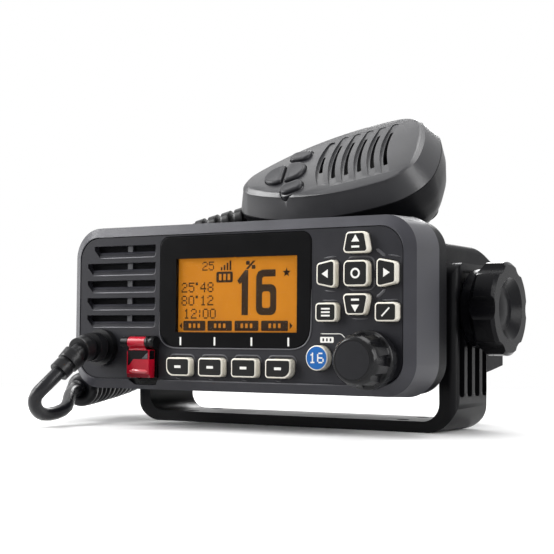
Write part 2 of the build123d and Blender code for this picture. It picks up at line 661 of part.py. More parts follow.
# The lid hangs from its barrel over the button: a thin shell, open towards the panel
lid_high = hinge_z - BARREL_R - 0.5
lid_back = -CRADLE_PROUD - LID_REST
lid = prism([(-LID_PROUD, lid_low + 1.6), (-LID_PROUD, lid_high - 1.0),
             (-LID_PROUD + 1.2, lid_high), (lid_back, lid_high), (lid_back, lid_low),
             (-LID_PROUD + 1.4, lid_low)], lid_left, lid_right)
lid = lid - prism([(-LID_PROUD + LID_T, lid_low + LID_T), (-LID_PROUD + LID_T, lid_high - LID_T),
                   (OPEN, lid_high - LID_T), (OPEN, lid_low + LID_T)],
                  lid_left + LID_T, lid_right - LID_T)
lid = lid + prism([(-LID_PROUD + 1.2, lid_high - 0.3), (-LID_PROUD + 1.2, hinge_z),
                   (-LID_PIVOT_PROUD, hinge_z), (-LID_PIVOT_PROUD, lid_high - 0.3)],
                  lid_left, barrel_right)
lid = lid + rod(BARREL_R, lid_left, barrel_right, hinge_y, hinge_z)
parts["emergency_lid"] = lid - rod(HINGE_PIN_R + HINGE_RUN, lid_left - OPEN, lid_right + OPEN,
                                   hinge_y, hinge_z)

# ---------------------------------------------------------------- cord gland
gland_x = PANEL_LEFT + GLAND_FROM_LEFT
gland_z = PANEL_BOTTOM + GLAND_Z
gland_hole = disc(GLAND_NECK_R + FIT, gland_x, gland_z, -OPEN, FRONT_WALL + OPEN)
panel = panel - gland_hole
inlay = inlay - gland_hole
gland = disc(GLAND_FLANGE_R, gland_x, gland_z, -GLAND_FLANGE_T, INLAY_DROP - SEAT)
gland = gland + disc(GLAND_NECK_R, gland_x, gland_z, -SEAT, FRONT_WALL + 2.0)
gland = gland + disc(GLAND_NUT_R, gland_x, gland_z, FRONT_WALL + SEAT, FRONT_WALL + 2.5)
relief_points = [behind(point) for point in RELIEF_ROUTE]
relief_path = FilletPolyline(*relief_points, radius=bend_radii(relief_points))
relief_start = Plane(origin=relief_path @ 0, z_dir=relief_path % 0)
gland = gland + sweep(relief_start * Circle(RELIEF_CORE_R), path=relief_path)
for share, radius in RELIEF_RINGS:
    ring_plane = Plane(origin=relief_path @ share, z_dir=relief_path % share)
    gland = gland + extrude(ring_plane * Circle(radius), RELIEF_RING_L, taper=5)
tip_plane = Plane(origin=relief_path @ 1, z_dir=-(relief_path % 1))
gland = gland + extrude(tip_plane * Circle(RELIEF_TIP_R), RELIEF_TIP_L)
parts["cord_gland"] = gland

parts["front_panel"] = panel
parts["front_inlay"] = inlay

# ---------------------------------------------------------------- cord
curl_points = [behind(point) for point in CURL_ROUTE]
parts["cord_tail"] = route_tube([behind(point) for point in TAIL_ROUTE], CORD_D / 2, "cord_tail")
parts["cord_curl"] = route_tube(curl_points, CURL_D / 2, "cord_curl")

# ---------------------------------------------------------------- gasket and chassis
gasket = slab(panel_outline(GASKET_INSET), GASKET_FRONT, GASKET_FRONT + GASKET_T)
parts["panel_gasket"] = gasket - slab(panel_outline(GASKET_INSET + GASKET_RIM), 0, BODY_DEPTH)

slope_start = BODY_DEPTH - SLOPE_L
fin_root = BODY_DEPTH - FIN_DEPTH
connector_seat = BODY_DEPTH - CONNECTOR_SET_IN


def chassis_side(shrink, near, far):
    """Side view of the casting, shrunk by a wall all round, between two depths."""
    top = CHASSIS_TOP - shrink
    low = CHASSIS_BOTTOM + shrink
    share = (far - slope_start) / SLOPE_L
    return [(near, low), (near, top), (slope_start, top), (far, top - SLOPE_DROP * share),
            (far, low + KEEL_DROP * share), (slope_start, low)]


chassis = prism(chassis_side(0, FLANGE_BACK - 1.0, BODY_DEPTH), -CHASSIS_SIDE, CHASSIS_SIDE)
chassis = fillet(chassis.edges().filter_by(Axis.Y), 3.0)
gap_count = int((CHASSIS_W - 2 * FIN_EDGE) / FIN_PITCH) + 1
socket_left = SOCKET_X - SOCKET_FLANGE / 2
lead_right = LEAD_X[-1] + LEAD_R[-1] + LEAD_COLLAR
for index in range(gap_count):
    gap_x = (index - (gap_count - 1) / 2) * FIN_PITCH
    gap_low = CHASSIS_BOTTOM - OPEN
    if gap_x > socket_left - FIN_T:
        gap_low = SOCKET_Z + SOCKET_FLANGE / 2 + FIN_T
    elif gap_x < lead_right + FIN_T:
        gap_low = LEAD_Z + LEAD_R[0] + LEAD_COLLAR + FIN_T
    gap = Pos(gap_x, (gap_low + CHASSIS_TOP + OPEN) / 2) * Rectangle(
        FIN_PITCH - FIN_T, CHASSIS_TOP + OPEN - gap_low)
    chassis = chassis - slab(gap, fin_root, BODY_DEPTH + OPEN)
# flats among the fins for the leads and the antenna socket
flat_low = CHASSIS_BOTTOM + 4.0
lead_flat_high = LEAD_Z + LEAD_R[0] + LEAD_COLLAR + 1.2
lead_left = LEAD_X[0] - LEAD_R[0] - LEAD_COLLAR
for x0, x1, high in ((lead_left - 1.5, lead_right + 1.5, lead_flat_high),
                     (socket_left - 1.2, SOCKET_X + SOCKET_FLANGE / 2 + 1.2,
                      SOCKET_Z + SOCKET_FLANGE / 2 + 1.2)):
    flat = Pos((x0 + x1) / 2, (flat_low + high) / 2) * Rectangle(x1 - x0, high - flat_low)
    chassis = chassis - slab(flat, connector_seat, BODY_DEPTH + OPEN)
chassis = chassis + slab(panel_outline(FLANGE_INSET), FLANGE_FRONT, FLANGE_BACK)
chassis = chassis - prism(chassis_side(CHASSIS_WALL, FLANGE_FRONT - OPEN, fin_root - CHASSIS_WALL),
                          CHASSIS_WALL - CHASSIS_SIDE, CHASSIS_SIDE - CHASSIS_WALL)
for name, side in SIDES:
    seat_x = side * (CHASSIS_SIDE + BOSS_H)
    stud_in = side * (CHASSIS_SIDE - STUD_IN)
    chassis = chassis + rod(WASHER_R, stud_in - side * 1.5, seat_x, 0, PIVOT_Z)
    chassis = chassis - rod(STUD_R + STUD_FIT, stud_in - side * SEAT, seat_x + side * OPEN, 0,
                            PIVOT_Z)
board_depth = 54.0
board_w, board_l = 104.0, 46.0
board_under = CHASSIS_BOTTOM + CHASSIS_WALL + 3.3
for sx in (-1, 1):
    for sy in (-1, 1):
        post = Plane(origin=(sx * (board_w / 2 - 4), FRONT_Y + board_depth + sy * (board_l / 2 - 4),
                             board_under - SEAT))
        chassis = chassis - extrude(post * Circle(0.8), 1.0)
        chassis = chassis + extrude(post * Circle(2.6), CHASSIS_BOTTOM + 1.0 - board_under)
board_plane = Plane(origin=(0, FRONT_Y + board_depth, board_under))
parts["radio_board"] = extrude(board_plane * Rectangle(board_w, board_l), BOARD_T)

# Screws that hold the chassis to the panel, heads sunk in the back of the flange
screws = []
for sx in (-1, 1):
    for sz in (-1, 1):
        x = sx * (PANEL_W / 2 - SCREW_FROM_EDGE)
        z = PIVOT_Z + sz * (PANEL_H / 2 - SCREW_FROM_EDGE)
        chassis = chassis - disc(SCREW_R + 0.1, x, z, FLANGE_FRONT - OPEN, FLANGE_BACK + OPEN)
        chassis = chassis - disc(SCREW_HEAD_R + 0.15, x, z, FLANGE_BACK - 1.6, FLANGE_BACK + OPEN)
        screw = disc(SCREW_R, x, z, FLANGE_FRONT, FLANGE_BACK - 1.0)
        screw = screw + disc(SCREW_HEAD_R, x, z, FLANGE_BACK - 1.6 + SEAT, FLANGE_BACK - 0.1)
        screw = screw - slab(Pos(x, z) * Rectangle(SCREW_HEAD_R * 1.3, 0.7), FLANGE_BACK - 0.8,
                             FLANGE_BACK + OPEN)
        screws.append(screw.solid())
parts["case_screws"] = Compound(screws)
parts["chassis"] = chassis

# ---------------------------------------------------------------- rear connectors
flange_seat = connector_seat + SEAT
socket_front = flange_seat + SOCKET_FLANGE_T
socket_end = socket_front + SOCKET_L
socket = slab(Pos(SOCKET_X, SOCKET_Z) * RectangleRounded(SOCKET_FLANGE, SOCKET_FLANGE, 2.0),
              flange_seat, socket_front)
socket = socket + disc(SOCKET_R, SOCKET_X, SOCKET_Z, flange_seat, socket_end)
socket = socket - disc(SOCKET_R - SOCKET_WALL, SOCKET_X, SOCKET_Z, socket_front + 1.0,
                       socket_end + OPEN)
parts["antenna_socket"] = socket
insulator = disc(SOCKET_R - SOCKET_WALL - SEAT, SOCKET_X, SOCKET_Z, socket_front + 1.0 + SEAT,
                 socket_end - 1.0)
insulator = insulator - disc(SOCKET_BORE_R, SOCKET_X, SOCKET_Z, socket_front + 2.0, socket_end)
parts["socket_insulator"] = insulator
contact = disc(SOCKET_BORE_R - SEAT, SOCKET_X, SOCKET_Z, socket_front + 2.0 + SEAT,
               socket_end - 2.0)
parts["socket_contact"] = contact - disc(SOCKET_PIN_R, SOCKET_X, SOCKET_Z, socket_front + 4.0,
                                         socket_end)


def lead_grommet(x, radius):
    """Collar and tapered sleeve through which a lead leaves the chassis."""
    grommet = disc(radius + LEAD_COLLAR, x, LEAD_Z, flange_seat, flange_seat + 2.4)
    sleeve = depth_plane(flange_seat + 2.0) * Pos(x, LEAD_Z) * Circle(radius)
    grommet = grommet + extrude(sleeve, -LEAD_SLEEVE_L, taper=8)
    return grommet - disc(radius * 0.42, x, LEAD_Z, flange_seat + 1.2,
                          flange_seat + 2.0 + LEAD_SLEEVE_L + OPEN)


parts["power_grommet"] = lead_grommet(LEAD_X[0], LEAD_R[0])
signal = [lead_grommet(x, radius).solid() for x, radius in zip(LEAD_X[1:], LEAD_R[1:])]
parts["signal_grommets"] = Compound(signal)

# ---------------------------------------------------------------- speaker and logic board
speaker_x = (slot_left + slot_right) / 2
cloth_front = FRONT_WALL + SEAT
cloth_back = cloth_front + CLOTH_T
cloth = Pos(speaker_x, grille_mid_z) * Rectangle(SLOT_L + 2 * CLOTH_MARGIN,
                                                 grille_h + CLOTH_MARGIN)
parts["speaker_cloth"] = slab(cloth, cloth_front, cloth_back)
frame_front = cloth_back + SEAT
frame_back = frame_front + 2.0
speaker = disc(SPEAKER_R, speaker_x, grille_mid_z, frame_front, frame_back)
speaker = speaker - disc(SPEAKER_R - 3.0, speaker_x, grille_mid_z, 0, frame_back + OPEN)
basket = depth_plane(frame_back - 0.4) * Pos(speaker_x, grille_mid_z) * Circle(SPEAKER_R - 1.0)
speaker = speaker + extrude(basket, -(SPEAKER_L - 6.0), taper=40)
speaker = speaker + disc(SPEAKER_MAGNET_R, speaker_x, grille_mid_z, frame_back + 2.0,
                         frame_front + SPEAKER_L)
parts["speaker"] = speaker
logic_left = lid_right + CRADLE_SIDE_RIGHT + 6.0
logic_right = PANEL_RIGHT - PANEL_WALL - 3.0
logic_front = encoder_well + 1.5 + SEAT
logic_h = PANEL_H - 2 * (PANEL_WALL + 3.0)
logic = slab(Pos((logic_left + logic_right) / 2, PIVOT_Z)
             * Rectangle(logic_right - logic_left, logic_h), logic_front, logic_front + BOARD_T)
parts["logic_board"] = logic

# ---------------------------------------------------------------- clamp hardware
washers = []
for name, side in SIDES:
    washer_in = side * (CHASSIS_SIDE + BOSS_H + SEAT)
    washer_out = washer_in + side * WASHER_T
    washer = rod(WASHER_R, washer_in, washer_out, 0, PIVOT_Z)
    washer = washer - rod(STUD_R + STUD_FIT, washer_in - side, washer_out + side, 0, PIVOT_Z)
    washers.append(washer.solid())
    parts["clamp_stud_" + name] = rod(STUD_R, side * (CHASSIS_SIDE - STUD_IN),
                                      side * (KNOB_IN + STUD_OUT), 0, PIVOT_Z)
parts["tilt_washers"] = Compound(washers)


def clamp_knob():
    """Six-lobed grip on a narrower hub, with a dished end; made standing on its hub."""
    floor = KNOB_L - DISH_DEPTH
    half = Polyline((0, 0), (KNOB_HUB_R - 1.0, 0), (KNOB_HUB_R, 1.0),
                    (KNOB_HUB_R + 0.4, KNOB_HUB_L - 1.5), (KNOB_R, KNOB_HUB_L + 0.8),
                    (KNOB_R, KNOB_L - 1.2), (KNOB_R - 1.2, KNOB_L), (DISH_R, KNOB_L),
                    (DISH_FLOOR_R, floor), (0, floor), close=True)
    knob = revolve(Plane.XZ * make_face(half), axis=Axis.Z)
    ball_r = (DISH_DOME_R ** 2 + DISH_DOME ** 2) / (2 * DISH_DOME)
    ball = Pos(0, 0, floor + DISH_DOME - ball_r) * Sphere(ball_r)
    knob = knob + (ball & Pos(0, 0, floor) * Cylinder(DISH_DOME_R + 1.0, 2 * DISH_DOME))
    for index in range(KNOB_LOBES):
        angle = 2 * math.pi * (index + 0.5) / KNOB_LOBES
        reach = KNOB_R + FLUTE_R - FLUTE_DEPTH
        flute = Pos(reach * math.cos(angle), reach * math.sin(angle)) * Circle(FLUTE_R)
        knob = knob - extrude(Pos(0, 0, -OPEN) * flute, KNOB_L + 2 * OPEN)
    return knob - extrude(Pos(0, 0, -OPEN) * Circle(STUD_R + 0.03), STUD_OUT + OPEN + SEAT)


for name, side in SIDES:
    knob_plane = Plane(origin=(side * KNOB_IN, 0, PIVOT_Z), x_dir=(0, 0, 1), z_dir=(side, 0, 0))
    parts["clamp_knob_" + name] = knob_plane * clamp_knob()

# ---------------------------------------------------------------- bracket
# Three outlines crossed: the U from the front, the rounded plan, the arms from the side
u_outline = make_face(Polyline((-ARM_OUT, ARM_TOP), (-ARM_OUT, 0), (ARM_OUT, 0),
                               (ARM_OUT, ARM_TOP), (ARM_IN, ARM_TOP), (ARM_IN, BASE_T),
                               (-ARM_IN, BASE_T), (-ARM_IN, ARM_TOP), close=True))
u_outline = fillet([v for v in u_outline.vertices() if v.Y < BASE_T / 2], BRACKET_CORNER)
bend = [v for v in u_outline.vertices() if abs(v.Y - BASE_T) < 0.01 and v.X ** 2 > 1]
u_outline = fillet([v for v in bend if abs(abs(v.X) - ARM_IN) < 0.01], BRACKET_FILLET)
bracket = slab(u_outline, FRONT_TO_PIVOT - BRACKET_D / 2, FRONT_TO_PIVOT + BRACKET_D / 2)
plan = extrude(RectangleRounded(2 * ARM_OUT, BRACKET_D, BRACKET_EDGE_R), ARM_TOP)
arm_side = Pos(0, ARM_TOP - BRACKET_D / 2) * Rectangle(BRACKET_D, BRACKET_D)
arm_side = fillet(arm_side.vertices().sort_by(Axis.Y)[-2:], ARM_TOP_R)
arm_side = arm_side + Pos(0, (ARM_TOP - BRACKET_D) / 2) * Rectangle(BRACKET_D, ARM_TOP - BRACKET_D)
bracket = bracket & plan & along_x(arm_side, -ARM_OUT, ARM_OUT)
rib_pitch = (BRACKET_D - RIB_W) / GROOVE_COUNT
groove_low = BRACKET_CORNER + 1.0
groove_h = PIVOT_Z - groove_low
recess_h = ARM_TOP - ARM_RIM - PIVOT_Z + CLAMP_PAD_R
for name, side in SIDES:
    face = Plane(origin=(side * (ARM_OUT + OPEN), 0, 0), x_dir=(0, -side, 0), z_dir=(-side, 0, 0))
    for index in range(GROOVE_COUNT):
        y = (index - (GROOVE_COUNT - 1) / 2) * rib_pitch
        groove = Pos(y, groove_low + groove_h / 2) * RectangleRounded(rib_pitch - RIB_W, groove_h,
                                                                      1.6)
        bracket = bracket - extrude(face * groove, GROOVE_D + OPEN, taper=4)
    recess = Pos(0, ARM_TOP - ARM_RIM - recess_h / 2) * RectangleRounded(BRACKET_D - 2 * ARM_RIM,
                                                                         recess_h, 4.0)
    bracket = bracket - extrude(face * recess, GROOVE_D + OPEN, taper=4)
    bracket = bracket + rod(CLAMP_PAD_R, side * (ARM_IN + 1.0), side * ARM_OUT, 0, PIVOT_Z)
    bracket = bracket - rod(STUD_R + STUD_RUN, side * (ARM_IN - OPEN), side * (ARM_OUT + OPEN),
                            0, PIVOT_Z)
for sx in (-1, 1):
    for sy in (-1, 1):
        hole = Plane(origin=(sx * BASE_HOLES_X / 2, sy * BASE_HOLES_Y / 2, -OPEN))
        bracket = bracket - extrude(hole * Circle(BASE_HOLE_R), BASE_T + 2 * OPEN)
parts["mounting_bracket"] = bracket


# ---------------------------------------------------------------- hand microphone
def mic_outline(inset):
    """Egg-shaped outline of six arcs, each tangent to the next."""
    end = Vector(MIC_END_R, 0)
    bow = Vector(MIC_L - MIC_TOP_BOW_R, 0)
    corner = Vector(bow.X + math.sqrt((MIC_TOP_BOW_R - MIC_TOP_R) ** 2 - MIC_TOP_V ** 2),
                    MIC_TOP_V)
    # the side's middle lies where both of its neighbours touch its arc from inside
    span = corner - end
    to_end = MIC_SIDE_R - MIC_END_R
    to_corner = MIC_SIDE_R - MIC_TOP_R
    along = (to_end ** 2 - to_corner ** 2 + span.length ** 2) / (2 * span.length)
    aside = math.sqrt(to_end ** 2 - along ** 2)
    ahead = span.normalized()
    side = end + ahead * along + Vector(ahead.Y, -ahead.X) * aside

    def heading(start, finish):
        return math.atan2(finish.Y - start.Y, finish.X - start.X)

    side_from = heading(side, end)
    side_to = heading(side, corner)
    bow_from = heading(bow, corner)

    def arc(centre, radius, start, finish, flip=1):
        points = [centre + Vector(math.cos(a), math.sin(a)) * (radius - inset)
                  for a in (start, (start + finish) / 2, finish)]
        return ThreePointArc(*[(p.X, flip * p.Y) for p in points])

    edges = [arc(end, MIC_END_R, side_from, 2 * math.pi - side_from),
             arc(bow, MIC_TOP_BOW_R, -bow_from, bow_from)]
    for flip in (1, -1):
        edges.append(arc(side, MIC_SIDE_R, side_from, side_to, flip))
        edges.append(arc(corner, MIC_TOP_R, side_to, bow_from, flip))
    return make_face(edges)


def mic_level(w, inset):
    return Pos(0, 0, w) * mic_outline(inset)


def mic_stack(levels):
    return loft([mic_level(w, inset) for w, inset in levels], ruled=True)


def above_crown(wall):
    """Everything over the curve of the face, or over its inside one wall below."""
    half = MIC_HALF + OPEN
    crown_z = MIC_FACE_D - wall
    edge_z = crown_z - half ** 2 / (2 * MIC_CROWN_R)
    over_z = crown_z + 2 * MIC_SIDE_D
    section = make_face([ThreePointArc((-half, edge_z), (0, crown_z), (half, edge_z)),
                         Polyline((half, edge_z), (half, over_z), (-half, over_z),
                                  (-half, edge_z))])
    start = Plane(origin=(-OPEN, 0, 0), x_dir=(0, 1, 0), z_dir=(1, 0, 0))
    return extrude(start * section, MIC_L + 2 * OPEN)


# Back shell: rounded like a quarter of an ellipse, hollow
quarter = [math.radians(angle) for angle in (0, 22, 42, 60, 76, 90)]
back_levels = [(-MIC_SEAM - (MIC_BACK_D - MIC_SEAM) * math.sin(a),
                MIC_BACK_ROUND * (1 - math.cos(a))) for a in quarter]
hollow_levels = [(OPEN, MIC_WALL)] + [
    (-(MIC_BACK_D - MIC_WALL) * math.sin(a), MIC_WALL + MIC_BACK_ROUND * (1 - math.cos(a)))
    for a in quarter[1:]]
mic_back = mic_stack(back_levels) - mic_stack(hollow_levels)

# Front shell: drafted side, rounded edge, crowned face, hollow
front_levels = [(MIC_SEAM, 0.2), (MIC_SIDE_D, MIC_SIDE_DRAFT),
                (MIC_SIDE_D + 1.2, MIC_SIDE_DRAFT + 0.5),
                (MIC_SIDE_D + 2.2, MIC_SIDE_DRAFT + MIC_FACE_ROUND),
                (MIC_FACE_D + OPEN, MIC_SIDE_DRAFT + 2.5 * MIC_FACE_ROUND)]
front_hollow_levels = [(-OPEN, MIC_WALL), (MIC_SIDE_D, MIC_WALL + MIC_SIDE_DRAFT),
                       (MIC_FACE_D, MIC_WALL + MIC_SIDE_DRAFT + MIC_FACE_ROUND)]
mic_front = mic_stack(front_levels) - above_crown(0)
mic_front = mic_front - (mic_stack(front_hollow_levels) - above_crown(MIC_WALL))

# Curved grille grooves; the middle of each goes right through
for index in range(MIC_SLOTS):
    u = MIC_SLOT_U + index * MIC_SLOT_PITCH
    half = MIC_SLOT_HALF - (2.5 if index == 0 else 0)
    groove = SlotArc(ThreePointArc((u + MIC_SLOT_BOW, -half), (u, 0), (u + MIC_SLOT_BOW, half)),
                     MIC_SLOT_W)
    mic_front = mic_front - extrude(Pos(0, 0, MIC_FACE_D - MIC_SLOT_D) * groove, 6.0)
    slit_half = MIC_SLIT_HALF * (0.45 if index == 0 else 1.0)
    slit_u = u + (MIC_SLOT_W - MIC_SLIT_W) / 2 - 0.1
    slit_bow = MIC_SLOT_BOW * (slit_half / MIC_SLOT_HALF) ** 2
    slit = SlotArc(ThreePointArc((slit_u + slit_bow, -slit_half), (slit_u, 0),
                                 (slit_u + slit_bow, slit_half)), MIC_SLIT_W)
    mic_front = mic_front - extrude(Pos(0, 0, MIC_SIDE_D - MIC_WALL - 1.0) * slit, 8.0)

# Keys on the face
mic_key_top = MIC_FACE_D + MIC_KEY_PROUD
mic_key_foot = mic_key_top - MIC_KEY_L
pair_in = MIC_KEY_SPLIT / 2
pair_out = MIC_KEY_PAIR_L / 2
pair_half = MIC_KEY_PAIR_W / 2
half_oval = make_face([ThreePointArc((pair_in, -pair_half), (pair_out, 0), (pair_in, pair_half)),
                       Line((pair_in, pair_half), (pair_in, -pair_half))])
half_oval = fillet(half_oval.vertices(), 1.4)
side_key = RectangleRounded(MIC_SIDE_KEY_L, MIC_SIDE_KEY_W, MIC_SIDE_KEY_W * 0.4)
pair_middle = Pos(MIC_KEY_U, MIC_KEY_V)
mic_keys = {
    "mic_key_low": pair_middle * Rot(0, 0, 180) * half_oval,
    "mic_key_high": pair_middle * half_oval,
    "mic_key_near": pair_middle * Pos(MIC_SIDE_KEY_AHEAD, -MIC_SIDE_KEY_OUT)
    * Rot(0, 0, MIC_SIDE_KEY_TURN) * side_key,
    "mic_key_far": pair_middle * Pos(MIC_SIDE_KEY_AHEAD, MIC_SIDE_KEY_OUT)
    * Rot(0, 0, -MIC_SIDE_KEY_TURN) * side_key,
}
mic_parts = {}
for name, outline in mic_keys.items():
    key = extrude(Pos(0, 0, mic_key_foot) * outline, MIC_KEY_L)
    mic_parts[name] = fillet(key.faces().sort_by(Axis.Z)[-1].edges(), 0.6)
    mic_front = mic_front - extrude(Pos(0, 0, mic_key_foot - 4.0) * offset(outline, KEY_GAP), 12.0)

# Talk bar in a notch of the far side, shaped as the side itself moved out
talk_mid = TALK_U + TALK_L / 2
bar_window = Pos(talk_mid, MIC_HALF) * Rectangle(TALK_L, MIC_HALF)
notch_window = Pos(talk_mid, MIC_HALF) * Rectangle(TALK_L + 2 * TALK_GAP, MIC_HALF)
bar_band = mic_outline(-TALK_PROUD) - mic_outline(TALK_T - TALK_PROUD)
notch_band = mic_outline(-TALK_PROUD - OPEN) - mic_outline(TALK_T - TALK_PROUD + TALK_TRAVEL
                                                           + TALK_GAP)
bar = extrude(Pos(0, 0, -TALK_BELOW) * (bar_band & bar_window), TALK_BELOW + TALK_ABOVE)
notch = extrude(Pos(0, 0, -TALK_BELOW - TALK_GAP) * (notch_band & notch_window),
                TALK_BELOW + TALK_ABOVE + 2 * TALK_GAP)
mic_parts["mic_talk_bar"] = bar
mic_back = mic_back - notch
mic_front = mic_front - notch

# Round hanger stud on the back
hanger_z = -MIC_BACK_D - SEAT - HANGER_NECK_L
hanger = extrude(Pos(HANGER_U, 0, hanger_z) * Circle(HANGER_NECK_R), HANGER_NECK_L)
hanger_cap = extrude(Pos(HANGER_U, 0, hanger_z - HANGER_CAP_T) * Circle(HANGER_R), HANGER_CAP_T)
hanger_cap = fillet(hanger_cap.faces().sort_by(Axis.Z)[0].edges(), 1.0)
mic_parts["mic_hanger"] = hanger + hanger_cap

# Strain relief: a ribbed cone out of the cord end
relief_w = -MIC_RELIEF_BELOW
relief_root = Plane(origin=(MIC_WALL + 1.0, 0, relief_w), x_dir=(0, 1, 0), z_dir=(-1, 0, 0))
relief_reach = MIC_RELIEF_L + MIC_WALL + 1.0
mic_relief = extrude(relief_root * Circle(RELIEF_CORE_R), relief_reach)
ring_step = MIC_RELIEF_L / MIC_RELIEF_RINGS
for index in range(MIC_RELIEF_RINGS):
    ring_plane = relief_root.offset(relief_reach - MIC_RELIEF_L + index * ring_step + 0.8)
    radius = MIC_RELIEF_R - MIC_RELIEF_SHRINK * index
    mic_relief = mic_relief + extrude(ring_plane * Circle(radius), ring_step * 0.6, taper=4)
relief_hole = Plane(origin=(MIC_WALL * 3, 0, relief_w), x_dir=(0, 1, 0), z_dir=(-1, 0, 0))
mic_back = mic_back - extrude(relief_hole * Circle(RELIEF_CORE_R + FIT), MIC_WALL * 5)
mic_parts["mic_relief"] = mic_relief
mic_parts["mic_front_shell"] = mic_front
mic_parts["mic_back_shell"] = mic_back
speaker_u = MIC_SLOT_U + (MIC_SLOTS - 1) * MIC_SLOT_PITCH / 2
speaker_top = MIC_FACE_D - MIC_WALL - MIC_SPEAKER_R ** 2 / (2 * MIC_CROWN_R) - 2 * SEAT
mic_parts["mic_speaker"] = Pos(speaker_u, 0, speaker_top - MIC_SPEAKER_T / 2) * Cylinder(
    MIC_SPEAKER_R, MIC_SPEAKER_T)
board_top = speaker_top - MIC_SPEAKER_T - SEAT
mic_board = extrude(Pos(0, 0, board_top - MIC_BOARD_T) * mic_outline(TALK_T + TALK_TRAVEL + 0.6),
                    MIC_BOARD_T)
mic_parts["mic_board"] = mic_board

# Its pose: leaning on the chassis top behind the panel
yaw, pitch, tilt = (math.radians(angle) for angle in (MIC_YAW, MIC_PITCH, MIC_TILT))
mic_u = Vector(math.cos(yaw) * math.cos(pitch), math.sin(yaw) * math.cos(pitch), math.sin(pitch))
level = Vector(0, 0, 1).cross(mic_u).normalized()
mic_v = level * math.cos(tilt) + mic_u.cross(level) * math.sin(tilt)
mic_w = mic_u.cross(mic_v)
turn = Plane(origin=(0, 0, 0), x_dir=mic_u, z_dir=mic_w) * Pos(-MIC_L / 2, 0, 0)
lowest = (turn * mic_back).bounding_box().min.Z
mic_place = Vector(MIC_X, FRONT_Y + MIC_BEHIND, CHASSIS_TOP + MIC_REST - lowest)
for name, piece in mic_parts.items():
    parts[name] = Pos(*mic_place) * turn * piece
print("microphone middle", mic_place, "along", mic_u, "across", mic_v, "out", mic_w)

# Plain length of cord from the curly part to the microphone's strain relief
relief_end = mic_place - mic_u * (MIC_L / 2 + MIC_RELIEF_L) + mic_w * relief_w
lead_points = [curl_points[-1]] + [behind(point) for point in LEAD_BEND]
lead_points = lead_points + [relief_end - mic_u * LEAD_STRAIGHT, relief_end]
parts["cord_lead"] = route_tube(lead_points, CORD_D / 2, "cord_lead")
print("relief end", relief_end, "lead bend", lead_points[-2])

# ---------------------------------------------------------------- export
os.makedirs("parts", exist_ok=True)
for name, shape in parts.items():
    export_step(shape, "parts/%s.step" % name)
print(len(parts), "nodes")
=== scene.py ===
import math
import re
import bmesh
import bpy
from mathutils import Matrix, Quaternion, Vector
from mathutils.geometry import tessellate_polygon


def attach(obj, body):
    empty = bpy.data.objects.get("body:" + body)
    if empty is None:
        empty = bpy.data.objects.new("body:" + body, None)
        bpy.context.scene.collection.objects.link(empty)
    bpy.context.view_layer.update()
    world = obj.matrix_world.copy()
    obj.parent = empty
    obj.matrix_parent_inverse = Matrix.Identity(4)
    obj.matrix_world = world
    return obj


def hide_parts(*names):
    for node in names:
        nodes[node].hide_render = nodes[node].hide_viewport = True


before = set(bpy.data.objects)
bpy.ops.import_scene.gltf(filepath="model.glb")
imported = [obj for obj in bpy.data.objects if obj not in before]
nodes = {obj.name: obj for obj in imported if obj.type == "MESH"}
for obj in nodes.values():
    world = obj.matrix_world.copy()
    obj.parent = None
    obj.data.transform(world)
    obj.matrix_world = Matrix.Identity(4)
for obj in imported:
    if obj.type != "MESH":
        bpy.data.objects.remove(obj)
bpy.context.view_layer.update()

# Looks of a fixed marine radio: its surfaces, the display's contents, the signs on the
# keys, thin raised edges in lighter colours as painted highlights, painted highlight,
# glint and shade on the emergency lid, the microphone's soft keys and the curly cord.
# Sizes are in millimetres of the part, and MM turns them into the frame's metres.
# "Depth" is measured backwards from the plane of the front, and is negative for what
# stands proud of it.
MM = 0.001

# ---------------------------------------------------------------- sizes, as in the part
PIVOT_Z = 47.6             # tilt axis above the floor
FRONT_TO_PIVOT = 57.6
PANEL_W = 156.5
PANEL_H = 66.5
PANEL_LEFT = -PANEL_W / 2
PANEL_RIGHT = PANEL_W / 2
PANEL_BOTTOM = PIVOT_Z - PANEL_H / 2
PANEL_TOP = PIVOT_Z + PANEL_H / 2
BEVEL_W = 4.7              # bevel round the front
INLAY_DROP = 0.2           # plate let into the front, its face behind the front plane

# Speaker slots
SLOT_COUNT = 5
SLOT_PITCH = 7.0
SLOT_FROM_TOP = 10.8       # panel top to the middle of the top slot
SLOT_FROM_LEFT = 8.5
SLOT_TOP_INDENT = 3.4      # the top slot starts further in
SLOT_L = 34.5
SLOT_H = 4.9
SLOT_SLANT = 3.0

# Keys of the front
KEY_PROUD = 2.6
SOFT_KEY_COUNT = 4
SOFT_KEY_PITCH = 15.17
SOFT_ROW_X = 0.85          # middle of the row
SOFT_ROW_Z = PANEL_BOTTOM + 10.05
SOFT_KEY_W = 11.2
SOFT_KEY_H = 7.2
PAD_X = PANEL_RIGHT - 22.45
PAD_Z = PANEL_BOTTOM + 44.75
PAD_KEY_W = 9.9
PAD_KEY_H = 9.4
ARROW_OUT = 11.1           # pad middle to the middle of the up and down keys
ARROW_SIDE = 12.2          # and of the left and right keys
ARROW_INNER = 10.7         # their width on the side of the pad's middle
ARROW_OUTER = 7.6
ARROW_H = 7.7
LOW_KEY_SIDE = 12.1
LOW_KEY_Z = PAD_Z - 13.9
LOW_KEY_W = 8.7
LOW_KEY_H = 6.9
ROUND_KEY_X = PANEL_RIGHT - 38.15
ROUND_KEY_Z = PANEL_BOTTOM + 14.25
ROUND_KEY_R = 4.6

